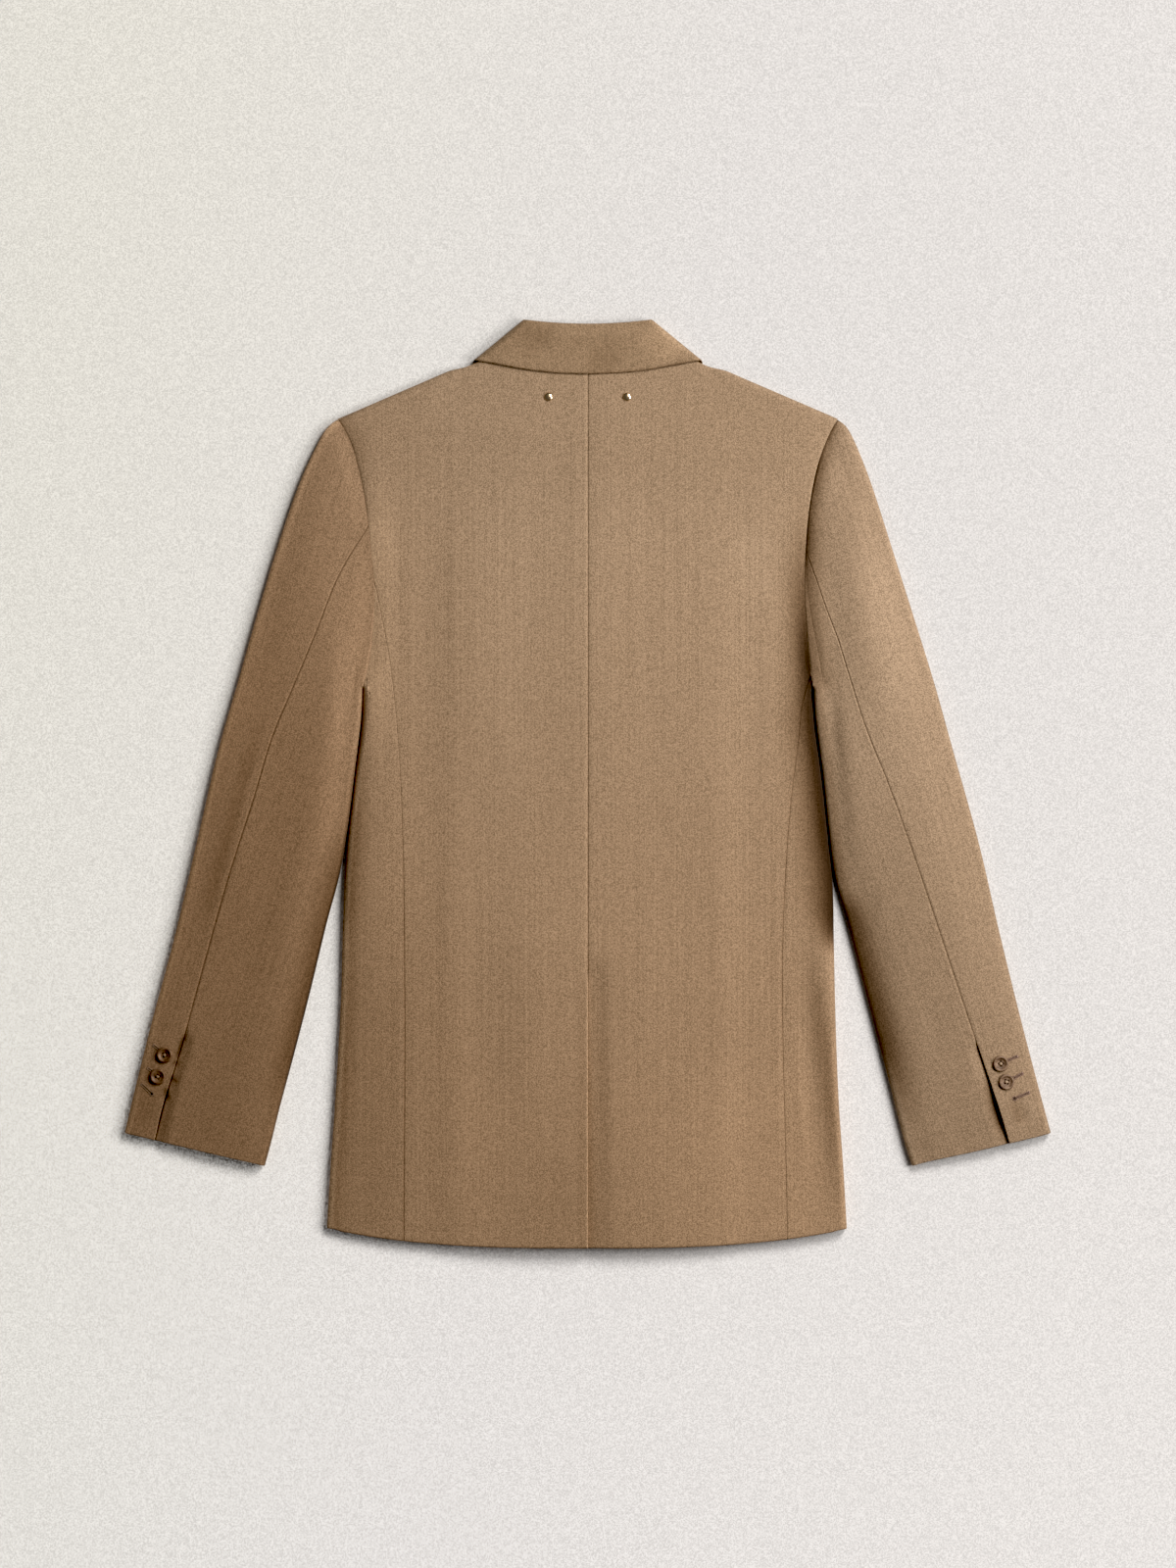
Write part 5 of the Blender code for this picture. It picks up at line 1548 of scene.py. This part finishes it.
def wool(name, colour, painted_shade_tint=(1, 0.935, 0.875, 1)):
    """Beige worsted: the weave's shade over a warm and a cooler yarn colour, and its relief as a bump.

    Its last argument is what its colour is multiplied by at the hem and, less, towards the left: painted
    shade.
    """
    made, shader = new_material(name, {
        "Roughness": 0.82,
        "Sheen Weight": 0.12,
        "Sheen Roughness": 0.55,
        "Sheen Tint": (0.95, 0.86, 0.74, 1),
        "Specular IOR Level": 0.25,
    })
    n = Nodes(made.node_tree)
    uv = n.add("ShaderNodeUVMap", uv_map="weave").outputs["UV"]
    group = n.add("ShaderNodeGroup", node_tree=WORSTED)
    n.feed(group.inputs["Threads"], uv)
    shade = group.outputs["Shade"]
    share = n.ramp(shade, -0.5, 0.5)
    dark = tuple(c * k for c, k in zip(colour, (0.51, 0.50, 0.48))) + (1,)
    light = tuple(c * k for c, k in zip(colour, (1.49, 1.50, 1.52))) + (1,)
    # the tone attribute: painted light and shade, which the colour is multiplied by
    tone = n.add("ShaderNodeAttribute", attribute_name="tone").outputs["Fac"]
    # where the colour is painted darker, as painted shade, it is also painted a little redder
    warm = n.add("ShaderNodeCombineColor")       # where cloth is darker it is a little redder too
    for socket, power in zip(warm.inputs, (0.0, 0.12, 0.25)):
        n.feed(socket, n.math("MULTIPLY", tone, n.math("POWER", n.math("MINIMUM", tone, 1.0), power)))
    x, y, _ = n.split(n.place())
    leftward = n.math("MINIMUM", n.math("ADD", x, 0.08), 0.0)
    place = n.math("MULTIPLY_ADD", leftward, 1.8, y)
    # painted shade: darker and redder at the hem and, less, towards the left
    low = n.mixed(n.ramp(place, 0.25, -0.3), (1, 1, 1, 1), painted_shade_tint)
    tinted = n.mixed(1.0, n.mixed(share, dark, light), low, "MULTIPLY")
    n.feed(shader.inputs["Base Color"], n.mixed(1.0, tinted, warm.outputs[0], "MULTIPLY"))
    bump = n.add("ShaderNodeBump")
    bump.inputs["Strength"].default_value = 0.35
    bump.inputs["Distance"].default_value = 0.0004
    n.feed(bump.inputs["Height"], group.outputs["Height"])
    n.feed(shader.inputs["Normal"], bump.outputs["Normal"])
    return made


def mottle_group():
    """Soft spots: a noise, and the share of the way that it is from its Low level to its High one."""
    levels = {"Detail": "Float", "Grit": "Float", "Low": "Float", "High": "Float"}
    tree, n = new_group("soft_mottle", {"Place": "Vector", **levels}, {"Share": "Float"})
    given = n.add("NodeGroupInput").outputs
    spots = n.noise(given["Place"], given["Detail"], given["Grit"], "3D")
    share = n.ramp(spots, given["Low"], given["High"])
    n.feed(n.add("NodeGroupOutput").inputs["Share"], share)
    return tree


def mottled(name, values, dark, light, size=(0.0006, 0.0006), detail=1.0, grit=0.5, low=0.0, high=1.0):
    """A material in soft spots of two tones: size is theirs in metres."""
    made, shader = new_material(name, values)
    n = Nodes(made.node_tree)
    group = n.add("ShaderNodeGroup", node_tree=MOTTLE)
    for socket, value in zip(group.inputs, (n.stretched(n.place(), *size), detail, grit, low, high)):
        n.feed(socket, value)
    n.feed(shader.inputs["Base Color"], n.mixed(group.outputs["Share"], dark + (1,), light + (1,)))
    return made


def horn(name, dark, light):
    """Polished horn: cloudy streaks between two tones, under a thin gloss."""
    gloss = {"Roughness": 0.5, "Specular IOR Level": 0.3, "Coat Weight": 0.06, "Coat Roughness": 0.2}
    return mottled(name, gloss, dark, light, (0.006, 0.0035), 3.0, 0.6, 0.35, 0.65)


def gold():
    """Pale gold-tone metal with a little unevenness in its polish."""
    polish = {"Roughness": 0.24, "Metallic": 1.0}
    return mottled("gold_metal", polish, (0.78, 0.56, 0.34), (0.95, 0.74, 0.50), (0.0012, 0.0012), 2.0)


def yarn(name, dark, light, roughness=0.5):
    """Thread: a slightly shiny twist in two close tones."""
    return mottled(name, {"Roughness": roughness}, dark, light)


WORSTED = worsted_group()
MOTTLE = mottle_group()
FINISH["wool"] = wool("beige_wool", (0.315, 0.221, 0.144))
# painted shade: darker copies of the wool for the sleeves and the collar, the left sleeve's darkest
FINISH["left sleeve wool"] = wool("beige_wool_left_sleeve", (0.2575, 0.1723, 0.1081))
FINISH["right sleeve wool"] = wool("beige_wool_right_sleeve", (0.302, 0.212, 0.139), (1, 1, 1, 1))
FINISH["collar wool"] = wool("beige_wool_collar", (0.256, 0.1745, 0.108), (1, 1, 1, 1))
FINISH["horn left"] = horn("brown_horn", (0.085, 0.045, 0.025), (0.22, 0.13, 0.075))
FINISH["horn right"] = horn("taupe_horn", (0.095, 0.058, 0.038), (0.25, 0.165, 0.11))
FINISH["gold"] = gold()
FINISH["thread left"] = yarn("brown_thread", (0.24, 0.15, 0.095), (0.42, 0.29, 0.19))
FINISH["thread right"] = yarn("sand_thread", (0.38, 0.27, 0.18), (0.54, 0.41, 0.29))
FINISH["purl left"] = yarn("brown_purl_stitch", (0.18, 0.115, 0.075), (0.36, 0.25, 0.17))
FINISH["purl right"] = yarn("mauve_purl_stitch", (0.20, 0.125, 0.105), (0.34, 0.23, 0.19))
# painted shade for the buttonholes' slits and the buttons' holes
FINISH["slit"] = yarn("dark_slit", (0.030, 0.018, 0.012), (0.05, 0.032, 0.022), 0.9)


# ---------------------------------------------------------------- build

back_left()
back_right()
for name in SIGN:
    side_body(name)
    sleeve_piece("top", name)
    sleeve_piece("under", name)
fronts()
lapel("right", -5)
lapel("left", 181)
collar_fall()
collar_stand()

trimmings()

# ---------------------------------------------------------------- camera, floor and light

VIEW_HEIGHT = 1.328     # of the garment's plane that the frame takes in
LENS = 100
SENSOR = 36
BLACK = 0.03            # how much blacks are held down
FLOOR_SHADE = 0.75 + BLACK
FLOOR_GRAIN = 0.12      # how far its little squares differ from it
# painted light: the floor is painted paler to the right and up, towards the lamps
FLOOR_SLOPE = (0.10, 0.015)     # how much paler the floor is a metre to the right, and a metre up
FLOOR_LEVEL = 1.055
FLOOR_PAINT = 0.92      # the palest that the floor is painted

LAMPS = rows_with("name place size power colour", [
    ("key", (0.95, 1.05, 1.42), 0.9, 37.1, (1, 0.97, 0.94)),
    ("fill", (1.60, 0.05, 1.20), 0.9, 28.0, (1, 0.97, 0.94)),
])
SKY = 0.10


def camera():
    data = bpy.data.cameras.new("camera")
    data.lens, data.sensor_width = LENS, SENSOR
    eye = shown("camera", data)
    eye.location = (0.0002, -0.0004, 0.006 + VIEW_HEIGHT * LENS / SENSOR)
    bpy.context.scene.camera = eye


def area_light(lamp):
    """A round soft box that looks at the middle of the garment."""
    data = bpy.data.lights.new(lamp.name, "AREA")
    data.shape, data.size, data.energy, data.color = "DISK", lamp.size, lamp.power, lamp.colour
    obj = shown(lamp.name, data)
    obj.location = lamp.place
    obj.rotation_euler = (-Vector(lamp.place)).to_track_quat("-Z", "Y").to_euler()


def light_on_floor(n, place):
    """What each lamp gives a spot: power times both cosines over its squared distance, and the sky's."""
    total = SKY
    for lamp in LAMPS:
        towards = n.vector("SUBTRACT", lamp.place, place)
        facing = n.vector("DOT_PRODUCT", towards, lamp.place, output="Value")
        far = n.vector("LENGTH", towards, output="Value")
        strength = lamp.power / math.pi**2 * lamp.place[2] / Vector(lamp.place).length
        lit = n.math("DIVIDE", facing, n.math("POWER", far, 4.0))
        total = n.math("MULTIPLY_ADD", lit, strength, total)
    return total


def floor():
    """A pale floor whose paint makes up for the lamps' falloff, with a faint glow where paint can't."""
    mesh = bpy.data.meshes.new("floor")
    mesh.from_pydata([(-4, -4, 0), (4, -4, 0), (4, 4, 0), (-4, 4, 0)], [], [(0, 1, 2, 3)])
    made, shader = new_material("floor", {
        "Roughness": 0.9, "Specular IOR Level": 0.0, "Emission Strength": 1.0,
    })
    n = Nodes(made.node_tree)
    place = n.place()
    lit = light_on_floor(n, place)
    x, y, _ = n.split(place)
    even = n.math("MULTIPLY_ADD", y, FLOOR_SLOPE[1], FLOOR_LEVEL)
    even = n.math("MULTIPLY_ADD", x, FLOOR_SLOPE[0], even)
    grain = n.ramp(n.speckle(place, 0.0009), 0, 1, FLOOR_SHADE - FLOOR_GRAIN, FLOOR_SHADE + FLOOR_GRAIN)
    shade = n.math("MULTIPLY", even, grain)
    paint = n.math("MINIMUM", n.math("DIVIDE", shade, lit), FLOOR_PAINT)
    glow = n.math("SUBTRACT", shade, n.math("MULTIPLY", paint, lit))
    aslant = n.math("MULTIPLY_ADD", y, 0.25, n.math("MULTIPLY", x, -1.0))
    tint = n.mixed(n.ramp(aslant, 0.0, 0.55), (1, 0.982, 0.973, 1), (1, 0.988, 0.925, 1))
    for name, amount in (("Base Color", paint), ("Emission Color", glow)):
        n.feed(shader.inputs[name], n.mixed(amount, (0, 0, 0, 1), tint))
    mesh.materials.append(made)
    obj = shown("floor", mesh)
    obj.location.z = -0.0002


def studio():
    world = bpy.data.worlds.new("studio")
    world.use_nodes = True
    world.node_tree.nodes["Background"].inputs["Color"].default_value = (1, 1, 1, 1)
    world.node_tree.nodes["Background"].inputs["Strength"].default_value = SKY
    bpy.context.scene.world = world
    seen = bpy.context.scene.view_settings
    seen.view_transform = "Standard"
    seen.use_curve_mapping = True
    seen.curve_mapping.black_level = (BLACK, BLACK, BLACK)
    seen.curve_mapping.update()
    for lamp in LAMPS:
        area_light(lamp)


camera()
floor()
studio()
